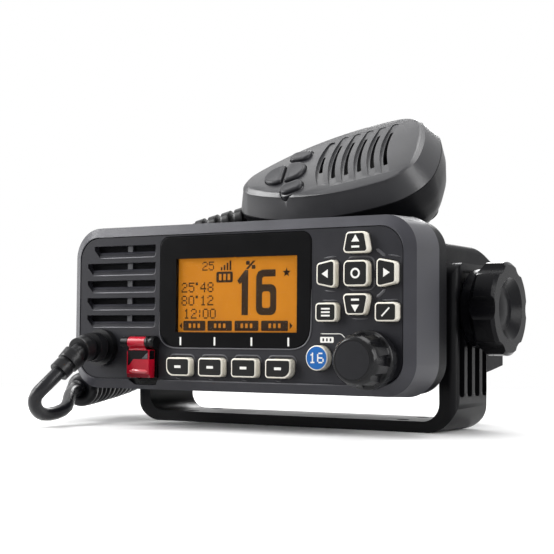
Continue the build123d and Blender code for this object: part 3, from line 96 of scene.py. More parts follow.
# Display
WINDOW_W = 68.9
WINDOW_X = 1.65            # middle of the black surround
WINDOW_LEFT = WINDOW_X - WINDOW_W / 2
WINDOW_RIGHT = WINDOW_X + WINDOW_W / 2
WINDOW_ABOVE_KEYS = 3.7
WINDOW_LOW = SOFT_ROW_Z + SOFT_KEY_H / 2 + WINDOW_ABOVE_KEYS
SURROUND_PROUD = 0.25
LCD_X = 2.7
LCD_W = 55.0
LCD_FOOT = 6.1             # surround below the display
LCD_LEFT = LCD_X - LCD_W / 2
LCD_LOW = WINDOW_LOW + LCD_FOOT
LCD_DEPTH = 1.7            # face of the display's glass

# Volume dial
DIAL_X = PANEL_RIGHT - 16.35
DIAL_Z = PANEL_BOTTOM + 13.85
DIAL_L = 14.7
DIAL_PUSH = 0.8            # travel of its push switch
DIAL_CLEAR = 0.7           # what is left under it when it is pushed
DIAL_FRONT = INLAY_DROP - DIAL_PUSH - DIAL_CLEAR - DIAL_L
DIAL_DISC_R = 6.6          # disc on its face

# Emergency lid
LID_LEFT = PANEL_LEFT + 33.2
LID_LOW = PANEL_BOTTOM + 5.45
LID_W = 10.8
LID_PROUD = 4.8

# Hand microphone: u along it from the cord end, v across it
MIC_L = 90.8
MIC_FACE_D = 10.1          # seam of its two shells to the crown of the face
MIC_CROWN_R = 210.0
MIC_YAW = math.radians(9.73)
MIC_PITCH = math.radians(11.19)
MIC_TILT = math.radians(38.9)
MIC_X = 10.6               # its middle, from the middle of the radio
MIC_BEHIND = 66.9          # behind the front plane
MIC_Z = 102.509            # and above the floor
MIC_KEY_U = 25.3           # middle of the pair of keys that make an oval
MIC_KEY_V = -2.0
MIC_PAIR_L = 18.8
MIC_PAIR_W = 13.0
MIC_PAIR_SPLIT = 1.2
MIC_SIDE_AHEAD = 5.0       # the two keys beside the pair, from its middle
MIC_SIDE_OUT = 13.0
MIC_SIDE_L = 10.2
MIC_SIDE_W = 7.8
MIC_SIDE_TURN = 12.0

# Microphone cord: x, depth, height of the route's points
CORD_D = 5.4
TAIL = [(-62.5, -25.0, 21.9), (-64.0, -30.8, 16.8), (-68.1, -32.5, 12.5),
        (-71.0, -28.9, 7.6), (-74.0, -20.3, 4.2), (-73.8, -6.3, 6.2), (-82.7, 5.1, 12.6)]
CURL = [(-86.0, 14.0, 13.0), (-98.5, 48.0, 14.5), (-106.5, 82.0, 18.5),
        (-109.5, 97.5, 31.5), (-110.5, 103.5, 50.0), (-106.5, 99.5, 67.8),
        (-97.0, 89.0, 78.7), (-88.0, 71.0, 80.5)]
LEAD = [(-82.7, 60.4, 81.56), (-71.67, 57.25, 80.59), (-58.14, 59.57, 83.31)]
TURN_R = 4.8               # middle of the curly part to the middle of its wire
TURN_PITCH = 5.6
TURN_STEPS = 14            # points of one turn
OPENING = 0.8              # turns in which the curls open out at each end


def at(x, depth, z):
    """Millimetres across, behind the front plane and up, as a point of the frame."""
    return Vector((x, depth - FRONT_TO_PIVOT, z)) * MM


def on_front(x, z, depth):
    """The same point, given as an outline's two places and a depth."""
    return at(x, depth, z)


def link(name, data):
    """A new object of the scene."""
    piece = bpy.data.objects.new(name, data)
    bpy.context.scene.collection.objects.link(piece)
    return piece


# ---------------------------------------------------------------- camera
CAMERA_AT = (0.271456, -0.464626, 0.035046)
CAMERA_LENS = 83.36
CAMERA_SENSOR = 36.0
CAMERA_TURN = math.radians(31.561)     # to the left of straight back
CAMERA_RISE = math.radians(2.807)
CAMERA_ROLL = math.radians(0.4447)


def place_camera():
    """The camera at CAMERA_AT, turned to the left, looking up a little, and rolled."""
    forward = Vector((-math.sin(CAMERA_TURN) * math.cos(CAMERA_RISE),
                      math.cos(CAMERA_TURN) * math.cos(CAMERA_RISE),
                      math.sin(CAMERA_RISE)))
    level_right = Vector((math.cos(CAMERA_TURN), math.sin(CAMERA_TURN), 0))
    level_up = level_right.cross(forward)
    right = level_right * math.cos(CAMERA_ROLL) + level_up * math.sin(CAMERA_ROLL)
    up = level_up * math.cos(CAMERA_ROLL) - level_right * math.sin(CAMERA_ROLL)
    data = bpy.data.cameras.new("camera")
    data.lens = CAMERA_LENS
    data.sensor_width = CAMERA_SENSOR
    data.clip_start = 0.01
    data.clip_end = 20.0
    camera = link("camera", data)
    turned = Matrix((right, up, -forward)).transposed().to_4x4()
    camera.matrix_world = Matrix.Translation(CAMERA_AT) @ turned
    bpy.context.scene.camera = camera


place_camera()

# ---------------------------------------------------------------- materials
NOISE_SPAN = (0.3, 0.7)    # where nearly all values of a noise texture lie
COAT_ROUGHNESS = 0.12
LEAST_ROUGHNESS = 0.02


def add_node(tree, kind, **values):
    """A shader node with its inputs and settings given by name."""
    node = tree.nodes.new(kind)
    for key, value in values.items():
        if key in node.inputs:
            node.inputs[key].default_value = value
        else:
            setattr(node, key, value)
    return node


def map_range(tree, source, given, wanted, **settings):
    """A socket's values, with the range given turned into the range wanted."""
    node = add_node(tree, "ShaderNodeMapRange", **settings)
    node.inputs["From Min"].default_value, node.inputs["From Max"].default_value = given
    node.inputs["To Min"].default_value, node.inputs["To Max"].default_value = wanted
    tree.links.new(source, node.inputs["Value"])
    return node.outputs["Result"]


def material(name, color, roughness, grain=0.25, bump=0.15, tone=0.12, cloud=14.0,
             metallic=0.0, coat=0.0, specular=0.5, emission=0.0, transmission=0.0,
             ior=1.5, woven=False):
    """Principled surface with a fine grain in its bump and slow changes of tone and gloss.

    grain and cloud are the sizes in mm of the grain and of the changes of tone. tone is
    the share by which colour and gloss change.
    """
    made = bpy.data.materials.new(name)
    made.use_nodes = True
    tree = made.node_tree
    shader = tree.nodes["Principled BSDF"]
    base = (color[0], color[1], color[2], 1.0)
    shader.inputs["Base Color"].default_value = base
    shader.inputs["Roughness"].default_value = roughness
    shader.inputs["Metallic"].default_value = metallic
    shader.inputs["Coat Weight"].default_value = coat
    shader.inputs["Coat Roughness"].default_value = COAT_ROUGHNESS
    shader.inputs["Specular IOR Level"].default_value = specular
    shader.inputs["IOR"].default_value = ior
    shader.inputs["Transmission Weight"].default_value = transmission
    spot = tree.nodes.new("ShaderNodeTexCoord").outputs["Object"]
    slow = add_node(tree, "ShaderNodeTexNoise", Scale=1.0 / (cloud * MM), Detail=4.0,
                    Roughness=0.6)
    tree.links.new(spot, slow.inputs["Vector"])
    change = map_range(tree, slow.outputs["Fac"], NOISE_SPAN, (1 - tone, 1 + tone))
    tint = add_node(tree, "ShaderNodeVectorMath", operation="SCALE")
    tint.inputs[0].default_value = color
    tree.links.new(change, tint.inputs["Scale"])
    tree.links.new(tint.outputs["Vector"], shader.inputs["Base Color"])
    smooth = max(roughness * (1 - tone), LEAST_ROUGHNESS)
    rough = min(roughness * (1 + tone), 1.0)
    gloss = map_range(tree, slow.outputs["Fac"], NOISE_SPAN, (smooth, rough))
    tree.links.new(gloss, shader.inputs["Roughness"])
    if bump > 0:
        if woven:
            fine = add_node(tree, "ShaderNodeTexVoronoi", Scale=1.0 / (grain * MM))
            height = fine.outputs["Distance"]
        else:
            fine = add_node(tree, "ShaderNodeTexNoise", Scale=1.0 / (grain * MM), Detail=2.0)
            height = fine.outputs["Fac"]
        tree.links.new(spot, fine.inputs["Vector"])
        relief = add_node(tree, "ShaderNodeBump", Strength=bump, Distance=grain * MM / 2)
        tree.links.new(height, relief.inputs["Height"])
        tree.links.new(relief.outputs["Normal"], shader.inputs["Normal"])
    if emission > 0:
        shader.inputs["Emission Color"].default_value = base
        shader.inputs["Emission Strength"].default_value = emission
    return made


# mouldings of the front
PANEL = material("panel", (0.034, 0.034, 0.042), 0.38, grain=0.22, bump=0.22, specular=0.36)
INLAY = material("inlay", (0.019, 0.019, 0.023), 0.44, grain=0.2, bump=0.25, specular=0.14)
# lighter copy of the panel's plastic: painted highlight on the thin raised edges of the
# front
PAINTED_EDGE_HIGHLIGHT = material("lip", (0.125, 0.125, 0.138), 0.34, grain=0.2, bump=0.1, specular=0.4)
# lighter grey: painted highlight on the edges of the key wells and the ring round the pad,
# and a painted glint on the lid's window
PAINTED_HIGHLIGHT_GREY = material("well", (0.070, 0.070, 0.078), 0.36, grain=0.2, bump=0.1, specular=0.35)
# display
GLOSS = material("gloss", (0.006, 0.006, 0.0065), 0.2, grain=0.6, bump=0.02, specular=0.05)
PANE = material("pane", (0.97, 0.98, 1.0), 0.02, bump=0.0, tone=0.02, transmission=1.0,
                ior=1.04, specular=0.05)
AMBER = material("amber", (0.345, 0.124, 0.009), 0.5, grain=0.4, bump=0.04, tone=0.07,
                 emission=0.34, cloud=22.0, specular=0.03)
LCD_DARK = material("lcd_dark", (0.022, 0.010, 0.003), 0.5, grain=0.3, bump=0.04,
                    specular=0.1)
WHITE = material("white", (0.8, 0.8, 0.77), 0.5, grain=0.3, bump=0.05, tone=0.04)
# keys, print and dial
IVORY = material("ivory", (0.86, 0.82, 0.72), 0.38, grain=0.3, bump=0.06, tone=0.05)
MARK = material("mark", (0.88, 0.87, 0.83), 0.5, grain=0.2, bump=0.08, tone=0.04)
KEY_BLACK = material("key_black", (0.008, 0.008, 0.008), 0.5, grain=0.15, bump=0.2,
                     specular=0.12)
KEY_BLUE = material("key_blue", (0.012, 0.125, 0.42), 0.35, grain=0.2, bump=0.06,
                    tone=0.08, specular=0.2)
DIAL = material("dial", (0.0055, 0.0055, 0.0065), 0.22, grain=0.2, bump=0.06, specular=0.2)
DIAL_FACE = material("dial_face", (0.013, 0.013, 0.015), 0.5, grain=0.15, bump=0.25,
                     specular=0.12)
BLACK = material("black", (0.0045, 0.0045, 0.0050), 0.28, grain=0.3, bump=0.1,
                 specular=0.14)
# rubber and cord
RUBBER = material("rubber", (0.006, 0.006, 0.007), 0.32, grain=0.3, bump=0.15,
                  specular=0.24)
CORD = material("cord", (0.006, 0.006, 0.008), 0.30, grain=0.35, bump=0.12, specular=0.26)
# emergency lid and button
RED = material("red", (0.44, 0.004, 0.020), 0.15, grain=0.5, bump=0.03, specular=0.25,
               coat=0.2)
RED_SOLID = material("red_solid", (0.55, 0.010, 0.025), 0.3, grain=0.3, bump=0.06)
# lighter copy of the lid's red: painted highlight along the ridge low on the lid
RED_PAINTED_HIGHLIGHT = material("red_painted_highlight", (0.66, 0.07, 0.09), 0.2, grain=0.3, bump=0.04, coat=0.4)
# darker copy of the lid's red: painted shade on its lower lip
RED_PAINTED_SHADE = material("red_painted_shade", (0.15, 0.002, 0.010), 0.25, grain=0.3, bump=0.04,
                    specular=0.15)
LID_GLASS = material("lid_glass", (0.006, 0.004, 0.005), 0.12, grain=0.5, bump=0.02,
                     specular=0.15)
# case, bracket and knobs
BRACKET = material("bracket", (0.0050, 0.0050, 0.0060), 0.34, grain=0.22, bump=0.25,
                   specular=0.1)
KNOB = material("knob", (0.0048, 0.0048, 0.0060), 0.28, grain=0.25, bump=0.15,
                specular=0.1)
CAST = material("cast", (0.0060, 0.0060, 0.0070), 0.48, grain=0.35, bump=0.35,
                specular=0.08)
# metals and inner pieces
STEEL = material("steel", (0.52, 0.52, 0.53), 0.3, grain=0.2, bump=0.15, metallic=1.0)
NICKEL = material("nickel", (0.66, 0.63, 0.58), 0.22, grain=0.2, bump=0.08, metallic=1.0)
BRASS = material("brass", (0.72, 0.5, 0.2), 0.28, grain=0.2, bump=0.1, metallic=1.0)
INSULATOR = material("insulator", (0.82, 0.82, 0.79), 0.4, grain=0.3, bump=0.06,
                     tone=0.05)
BOARD = material("board", (0.015, 0.11, 0.04), 0.4, grain=0.3, bump=0.15)
SPEAKER = material("speaker", (0.006, 0.006, 0.006), 0.7, grain=0.3, bump=0.2,
                   specular=0.1)
CLOTH = material("cloth", (0.006, 0.006, 0.007), 0.9, grain=0.5, bump=0.8, specular=0.1,
                 woven=True)
# microphone
MIC = material("mic", (0.014, 0.014, 0.017), 0.36, grain=0.2, bump=0.2, specular=0.5)
# darker copy of the microphone's plastic: painted shade on the back shell's side
MIC_BACK_SHADE = material("mic_back", (0.0065, 0.0065, 0.0078), 0.34, grain=0.2, bump=0.2,
                    specular=0.1)
MIC_KEY = material("mic_key", (0.015, 0.015, 0.018), 0.42, grain=0.2, bump=0.2,
                   specular=0.3)
MIC_BOARD = material("mic_board", (0.006, 0.009, 0.007), 0.6, grain=0.3, bump=0.15,
                     specular=0.1)

# The nodes that aren't named here are the ivory keys of the front, and the cord's solids,
# which its curve replaces.
NODE_MATERIAL = {
    "front_panel": PANEL, "front_inlay": INLAY, "display_surround": GLOSS,
    "display_pane": PANE, "lcd_glass": AMBER, "backlight": WHITE, "key_mat": RUBBER,
    "volume_dial": DIAL, "dial_spindle": STEEL, "dial_plunger": INSULATOR,
    "dial_encoder": BLACK, "button_cradle": BLACK, "lid_pin": STEEL,
    "emergency_button": RED_SOLID, "emergency_lid": RED, "cord_gland": RUBBER,
    "panel_gasket": RUBBER, "chassis": CAST, "case_screws": STEEL,
    "antenna_socket": NICKEL, "socket_insulator": INSULATOR, "socket_contact": BRASS,
    "power_grommet": RUBBER, "signal_grommets": RUBBER, "speaker": SPEAKER,
    "speaker_cloth": CLOTH, "logic_board": BOARD, "radio_board": BOARD,
    "tilt_washers": STEEL, "clamp_stud_left": STEEL, "clamp_stud_right": STEEL,
    "clamp_knob_left": KNOB, "clamp_knob_right": KNOB, "mounting_bracket": BRACKET,
    "mic_front_shell": MIC, "mic_back_shell": MIC_BACK_SHADE, "mic_talk_bar": RUBBER,
    "mic_hanger": BLACK, "mic_relief": RUBBER, "mic_speaker": SPEAKER,
    "mic_board": MIC_BOARD, "mic_key_low": MIC_KEY, "mic_key_high": MIC_KEY,
    "mic_key_near": MIC_KEY, "mic_key_far": MIC_KEY,
}

# ---------------------------------------------------------------- edges of the CAD nodes
ROUNDING = {
    "front_panel": 0.35, "mounting_bracket": 0.5, "clamp_knob_left": 0.5,
    "clamp_knob_right": 0.5, "chassis": 0.35, "volume_dial": 0.25,
    "mic_front_shell": 0.3, "mic_back_shell": 0.3,
}
FINE_ROUNDING = 0.12       # of all other nodes
SHARP_ANGLE = 32           # degrees between faces
WELD_GAP = 0.002           # between points that are one


def shade_smooth(piece, sharp_angle):
    """Smooth faces, split along edges sharper than an angle in degrees."""
    faces = piece.data.polygons
    faces.foreach_set("use_smooth", [True] * len(faces))
    split = piece.modifiers.new("split", "EDGE_SPLIT")
    split.split_angle = math.radians(sharp_angle)


def soften(piece, width):
    """Rounds a piece's sharp edges a little and shades its curved faces smooth."""
    attributes = piece.data.attributes
    if "custom_normal" in attributes:
        attributes.remove(attributes["custom_normal"])
    weld = piece.modifiers.new("weld", "WELD")
    weld.merge_threshold = WELD_GAP * MM
    bevel = piece.modifiers.new("bevel", "BEVEL")
    bevel.limit_method = "ANGLE"
    bevel.angle_limit = math.radians(SHARP_ANGLE)
    bevel.width = width * MM
    bevel.segments = 2
    bevel.use_clamp_overlap = True
    shade_smooth(piece, SHARP_ANGLE)
    shade = piece.modifiers.new("shade", "WEIGHTED_NORMAL")
    shade.keep_sharp = True


for node_name, node in nodes.items():
    node.data.materials.clear()
    node.data.materials.append(NODE_MATERIAL.get(node_name, IVORY))
    soften(node, ROUNDING.get(node_name, FINE_ROUNDING))

# ---------------------------------------------------------------- outlines
CORNER_STEPS = 6           # straight runs in a rounded corner
BEND_STEPS = 8             # and in a corner of a bent line
BEND_SHARE = 0.49          # most of a run that one corner of a bent line takes
LINE_STEP = 1.0            # about the length of a bent line's shortened runs
LEAST_SPREAD = 0.2         # limits how far a sharp corner moves in an inset outline


def rounded(points, radii):
    """Convex outline with its corners turned into arcs, of one radius or of a list."""
    if not isinstance(radii, (list, tuple)):
        radii = [radii] * len(points)
    outline = []
    for index, radius in enumerate(radii):
        before = Vector(points[index - 1])
        corner = Vector(points[index])
        after = Vector(points[(index + 1) % len(points)])
        if radius <= 0:
            outline.append(corner)
            continue
        to_before = (before - corner).normalized()
        to_after = (after - corner).normalized()
        half = to_before.angle(to_after) / 2
        centre = corner + (to_before + to_after).normalized() * (radius / math.sin(half))
        start = corner + to_before * (radius / math.tan(half)) - centre
        end = corner + to_after * (radius / math.tan(half)) - centre
        sweep = start.angle_signed(end)
        for step in range(CORNER_STEPS + 1):
            angle = -sweep * step / CORNER_STEPS
            cos, sin = math.cos(angle), math.sin(angle)
            outline.append(centre + Vector((start.x * cos - start.y * sin,
                                            start.x * sin + start.y * cos)))
    return [(spot.x, spot.y) for spot in outline]


def box_outline(x, z, width, height, radii=0):
    """Box about x, z; the first of its corners is the lower left one."""
    left, right = x - width / 2, x + width / 2
    low, top = z - height / 2, z + height / 2
    corners = [(left, low), (right, low), (right, top), (left, top)]
    return rounded(corners, radii) if radii else corners


def circle_outline(x, z, radius, steps=40):
    """Circle about x, z as a ring of points."""
    turns = [2 * math.pi * step / steps for step in range(steps)]
    return [(x + radius * math.cos(turn), z + radius * math.sin(turn)) for turn in turns]


def barred_box(x, z, size, radius, pitch, bar, bar_radius=0):
    """A box with three upright openings beside each other."""
    bars = [box_outline(x + k * pitch, z, *bar, bar_radius) for k in (-1, 0, 1)]
    return box_outline(x, z, *size, radius), bars


def inset(points, distance):
    """Convex outline moved inwards, for outlines given anticlockwise."""
    outline = []
    count = len(points)
    for index in range(count):
        before, corner, after = (Vector(points[(index + k) % count]) for k in (-1, 0, 1))
        in_dir = (corner - before).normalized()
        out_dir = (after - corner).normalized()
        in_normal = Vector((-in_dir.y, in_dir.x))
        spread = in_normal + Vector((-out_dir.y, out_dir.x))
        move = spread * (distance / max(spread.dot(in_normal), LEAST_SPREAD))
        outline.append(tuple(corner + move))
    return outline


def bend(points, radius):
    """Open line with its corners turned into curves and its runs into short steps."""
    line = [tuple(points[0])]
    for before, corner, after in zip(points, points[1:], points[2:]):
        a, b, c = Vector(before), Vector(corner), Vector(after)
        start = b + (a - b).normalized() * min(radius, (a - b).length * BEND_SHARE)
        end = b + (c - b).normalized() * min(radius, (c - b).length * BEND_SHARE)
        for step in range(BEND_STEPS + 1):
            share = step / BEND_STEPS
            line.append(tuple(start.lerp(b, share).lerp(b.lerp(end, share), share)))
    line.append(tuple(points[-1]))
    fine = [line[0]]
    for here, there in zip(line, line[1:]):
        a, b = Vector(here), Vector(there)
        count = max(1, round((b - a).length / LINE_STEP))
        fine += [tuple(a.lerp(b, (k + 1) / count)) for k in range(count)]
    return fine


# ---------------------------------------------------------------- pieces from outlines
RIDGE_ARC = [math.pi * step / 6 for step in range(7)]
RIDGE_END = 0.15           # size of a ridge at its ends, as a share


def add_piece(mesh, name, body, finish, sharp_angle=None, node=None):
    """A piece of the scene from its mesh, which may stand for a CAD node."""
    bmesh.ops.recalc_face_normals(mesh, faces=mesh.faces)
    data = bpy.data.meshes.new(name)
    mesh.to_mesh(data)
    mesh.free()
    data.materials.append(finish)
    piece = link(name, data)
    if sharp_angle:
        shade_smooth(piece, sharp_angle)
    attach(piece, body)
    if node:
        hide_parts(node)


def plates(name, outlines, depth, thickness, body, finish, place=on_front):
    """Thin solid plates; each outline is its points in mm, or a pair of them and holes."""
    mesh = bmesh.new()
    for entry in outlines:
        outline, holes = entry if isinstance(entry, tuple) else (entry, [])
        rings = [[Vector((*point, 0)) for point in ring] for ring in (outline, *holes)]
        spots = [spot for ring in rings for spot in ring]
        front = [mesh.verts.new(place(spot.x, spot.y, depth)) for spot in spots]
        back = [mesh.verts.new(place(spot.x, spot.y, depth + thickness)) for spot in spots]
        for triangle in tessellate_polygon(rings):
            mesh.faces.new([front[k] for k in triangle])
            mesh.faces.new([back[k] for k in reversed(triangle)])
        first = 0
        for ring in rings:
            for k in range(len(ring)):
                here, there = first + k, first + (k + 1) % len(ring)
                mesh.faces.new([front[here], front[there], back[there], back[here]])
            first += len(ring)
    add_piece(mesh, name, body, finish)


def skin(mesh, rings):
    """Faces between neighbouring rings of points, and one over each end."""
    for low, high in zip(rings, rings[1:]):
        for k in range(len(low)):
            m = (k + 1) % len(low)
            mesh.faces.new([low[k], low[m], high[m], high[k]])
    mesh.faces.new(rings[-1])
    mesh.faces.new(list(reversed(rings[0])))


def ridge(name, lines, width, height, depth, body, finish, taper, place=on_front):
    """Raised lines of half-oval section on a face, which fade out over taper at each end."""
    mesh = bmesh.new()
    for line in lines:
        points = [Vector(point) for point in line]
        runs = [0.0]
        for a, b in zip(points, points[1:]):
            runs.append(runs[-1] + (b - a).length)
        rings = []
        for index, point in enumerate(points):
            ahead = points[min(index + 1, len(points) - 1)] - points[max(index - 1, 0)]
            side = Vector((-ahead.y, ahead.x)).normalized()
            to_end = min(runs[index], runs[-1] - runs[index])
            grow = RIDGE_END + (1 - RIDGE_END) * min(1.0, to_end / taper)
            ring = []
            for angle in RIDGE_ARC:
                spot = point + side * (width / 2 * grow * math.cos(angle))
                rise = height * grow * math.sin(angle)
                ring.append(mesh.verts.new(place(spot.x, spot.y, depth - rise)))
            rings.append(ring)
        skin(mesh, rings)
    add_piece(mesh, name, body, finish, sharp_angle=50)


# ---------------------------------------------------------------- display contents
DIGITS = {
    "0": "01110 10001 10001 10001 10001 10001 01110",
    "1": "00100 01100 00100 00100 00100 00100 01110",
    "2": "01110 10001 00001 00110 01000 10000 11111",
    "4": "00010 00110 01010 10010 11111 00010 00010",
    "5": "11111 10000 11110 00001 00001 10001 01110",
    "6": "01110 10000 10000 11110 10001 10001 01110",
    "8": "01110 10001 10001 01110 10001 10001 01110",
    ":": "000 010 010 000 010 010 000",
    "'": "110 110 000 000 000 000 000",
}
DOT_GAP = 0.06             # between dots, as a share of their pitch
SMALL_DOT = 0.5            # pitch of the dots in the small digits
DOT = 0.56                 # in the rows of text
KEY_DOT = 0.55             # and on the round key
SMALL_SIGNS = 23.8         # foot of the small signs, above the display's lower edge
SOFT_LABELS = 2.5          # height of the middle of the labels over the soft keys
TEXT_ROWS = (("25'48", 1.4, 15.4), ("80'12", 1.4, 10.3), ("12:00", 2.6, 5.2))
LABEL_ENDS = ((2.4, 12.9), (13.9, 25.2), (26.4, 37.2), (38.4, 50.2))
BIG_FOOT = 6.5             # the two big numerals
BIG_H = 17.2
BIG_STROKE = 2.7
STAR_WAIST = 0.42
MARK_T = 0.05              # thickness of the display's signs and of the print
TICKS = (2.45, 18.5, 35.3, 51.5)
TICKS_BELOW = 3.5          # middle of the ticks below the display
TICK_T = 0.1


def on_lcd(u, v, depth):
    """A point across and up from the display's lower left corner."""
    return at(LCD_LEFT + u, depth, LCD_LOW + v)


def dot_text(text, x, z, pitch):
    """A text of dots with its lower left corner at x, z: a bar for each run of dots."""
    bars = []
    for sign in text:
        rows = DIGITS[sign].split()
        for index, row in enumerate(rows):
            top = z + (len(rows) - index) * pitch
            low = top - (1 - DOT_GAP) * pitch
            for run in re.finditer("1+", row):
                left = x + run.start() * pitch
                right = x + (run.end() - DOT_GAP) * pitch
                bars.append([(left, low), (right, low), (right, top), (left, top)])
        x += (len(rows[0]) + 1) * pitch
    return bars


def big_one(x, z, height):
    """A one with a slanted flag and no foot."""
    top = z + height
    return [(x + 2.1, z), (x + 5.0, z), (x + 5.0, top), (x + 3.6, top), (x, top - 4.0),
            (x + 1.2, top - 5.4), (x + 2.1, top - 4.6)]


def big_six(x, z, width, height, stroke):
    """A six with square shoulders: its bowl, which has a hole, and the stroke above."""
    bowl_height = height * 0.52 + stroke
    middle = (x + width / 2, z + bowl_height / 2)
    bowl = box_outline(*middle, width, bowl_height, (2.6, 2.6, 2.6, 0))
    hole = box_outline(*middle, width - 2 * stroke, bowl_height - 2 * stroke, 1.0)
    waist, top = z + bowl_height, z + height
    inner, end = x + stroke, x + width - 0.4
    stem = [(x, waist), (x, top - 2.6), (x + 0.8, top - 0.8), (x + 2.6, top), (end, top),
            (end, top - stroke), (inner + 0.6, top - stroke), (inner, top - stroke - 0.6),
            (inner, waist)]
    return [(bowl, [hole]), stem]


def star(x, z, radius):
    """A star of five points about x, z."""
    points = []
    for k in range(10):
        angle = k * math.pi / 5
        reach = radius * (STAR_WAIST if k % 2 else 1)
        points.append((x + math.sin(angle) * reach, z + math.cos(angle) * reach))
    return points


def stroke_with_dots(x, z):
    """A slanted stroke from x, z between two dots."""
    return [[(x, z), (x + 1.2, z), (x + 4.5, z + 3.2), (x + 3.3, z + 3.2)],
            box_outline(x + 1.0, z + 2.4, 1.7, 1.5, 0.4),
            box_outline(x + 3.6, z + 0.8, 1.7, 1.5, 0.4)]


def rising_bars(x, z):
    """Four bars with their feet at z, each higher than the one before."""
    heights = [1.2 + k * 0.84 for k in range(4)]
    return [box_outline(x + k * 1.35, z + height / 2, 0.8, height)
            for k, height in enumerate(heights)]


def display_signs():
    """All that the display shows: small signs, rows of text, numerals and labels."""
    signs = dot_text("25", 11.2, SMALL_SIGNS, SMALL_DOT)
    signs += rising_bars(20.2, SMALL_SIGNS)
    signs += stroke_with_dots(31.2, SMALL_SIGNS + 0.2)
    signs.append(barred_box(21.6, 21.2, (7.6, 4.2), 0.7, 2.0, (1.2, 2.4)))
    for text, u, v in TEXT_ROWS:
        signs += dot_text(text, u, v, DOT)
    signs.append(big_one(27.4, BIG_FOOT, BIG_H))
    signs += big_six(36.0, BIG_FOOT, 9.0, BIG_H, BIG_STROKE)
    signs.append(star(49.4, 22.4, 1.9))
    for start, end in LABEL_ENDS:
        signs.append(barred_box((start + end) / 2, SOFT_LABELS, (end - start, 3.9), 0.5,
                                2.1, (1.1, 1.7), 0.2))
    for tip, foot in ((0.6, 1.8), (52.2, 50.9)):
        signs.append([(tip, SOFT_LABELS), (foot, SOFT_LABELS + 1.3),
                      (foot, SOFT_LABELS - 1.3)])
    return signs


plates("lcd_marks", display_signs(), LCD_DEPTH - 0.06, MARK_T, "radio", LCD_DARK,
       place=on_lcd)
plates("display_ticks", [box_outline(u, -TICKS_BELOW, 0.75, 3.2, 0.15) for u in TICKS],
       -SURROUND_PROUD - 0.03, TICK_T, "radio", MARK, place=on_lcd)

# ---------------------------------------------------------------- keys
RIM = 0.62                 # ivory left round the dark face of a key
ROUND_RIM = 0.45
KEY_FACE = -KEY_PROUD - 0.06           # the dark face covers the dish and part of the rim
KEY_FACE_T = 0.1
FACE_R = 0.9
CENTRE_FACE_R = 1.3
SOFT_FACE_R = 0.8
SOFT_END_R = 3.0           # outer lower corners of the row of soft keys
SIGN_PROUD = 0.05
SIGN_T = 0.08
ARROW_SIGN = 1.6           # half the width of an arrow
# name, quarter turns to the left from the top, distance from the pad's middle
ARROW_KEYS = (("key_up", 0, ARROW_OUT), ("key_left", 1, ARROW_SIDE),
              ("key_down", 2, ARROW_OUT), ("key_right", 3, ARROW_SIDE))
first_soft_x = SOFT_ROW_X - SOFT_KEY_PITCH * (SOFT_KEY_COUNT - 1) / 2
soft_key_x = [first_soft_x + k * SOFT_KEY_PITCH for k in range(SOFT_KEY_COUNT)]


def on_pad(points, turns=0):
    """Points given from the pad's middle, turned about it by quarter turns to the left."""
    placed = []
    for x, z in points:
        for _ in range(turns):
            x, z = -z, x
        placed.append((PAD_X + x, PAD_Z + z))
    return placed


def arrow_face(reach):
    """Dark face of an arrow key over the pad's middle, narrower towards its outer side."""
    low, top = reach - ARROW_H / 2, reach + ARROW_H / 2
    corners = [(-ARROW_INNER / 2, low), (ARROW_INNER / 2, low), (ARROW_OUTER / 2, top),
               (-ARROW_OUTER / 2, top)]
    return rounded(inset(corners, RIM), FACE_R)


def arrow(x, z, size):
    """A triangle that points up."""
    return [(x - size, z - size * 0.75), (x + size, z - size * 0.75), (x, z + size * 0.85)]


def key_face(x, z, width, height, radii):
    """Dark face inside the rim of a key."""
    return box_outline(x, z, width - 2 * RIM, height - 2 * RIM, radii)


def dress_key(name, face, signs, finish=KEY_BLACK):
    """A key's coloured face and the light signs on it."""
    plates(name + "_face", [face], KEY_FACE, KEY_FACE_T, name, finish)
    plates(name + "_sign", signs, KEY_FACE - SIGN_PROUD, SIGN_T, name, MARK)


for key, turns, reach in ARROW_KEYS:
    if reach == ARROW_OUT:
        signs = [arrow(0, reach + 1.4, ARROW_SIGN), box_outline(0, reach - 1.6, 3.2, 0.75)]
    else:
        signs = [arrow(0, reach + 0.2, ARROW_SIGN)]
    dress_key(key, on_pad(arrow_face(reach), turns), [on_pad(s, turns) for s in signs])
dress_key("key_centre", key_face(PAD_X, PAD_Z, PAD_KEY_W, PAD_KEY_H, CENTRE_FACE_R),
          [(circle_outline(PAD_X, PAD_Z, 1.9), [circle_outline(PAD_X, PAD_Z, 1.2)])])
low_left, low_right = PAD_X - LOW_KEY_SIDE, PAD_X + LOW_KEY_SIDE
dress_key("key_low_left", key_face(low_left, LOW_KEY_Z, LOW_KEY_W, LOW_KEY_H, FACE_R),
          [box_outline(low_left, LOW_KEY_Z + k * 1.25, 3.6, 0.6) for k in (-1, 0, 1)])
dress_key("key_low_right", key_face(low_right, LOW_KEY_Z, LOW_KEY_W, LOW_KEY_H, FACE_R),
          [[(low_right + x, LOW_KEY_Z + z)
            for x, z in ((-1.7, -1.3), (-1.3, -1.7), (1.7, 1.3), (1.3, 1.7))]])
dress_key("key_round", circle_outline(ROUND_KEY_X, ROUND_KEY_Z, ROUND_KEY_R - ROUND_RIM),
          dot_text("16", ROUND_KEY_X - 3.0, ROUND_KEY_Z - 1.9, KEY_DOT),
          finish=KEY_BLUE)
for index, x in enumerate(soft_key_x):
    radii = [SOFT_FACE_R] * 4
    if index == 0:
        radii[0] = SOFT_END_R
    if index == SOFT_KEY_COUNT - 1:
        radii[1] = SOFT_END_R
    dress_key("soft_key_%d" % (index + 1),
              key_face(x, SOFT_ROW_Z, SOFT_KEY_W, SOFT_KEY_H, radii),
              [box_outline(x, SOFT_ROW_Z, 3.0, 1.0, 0.2)])
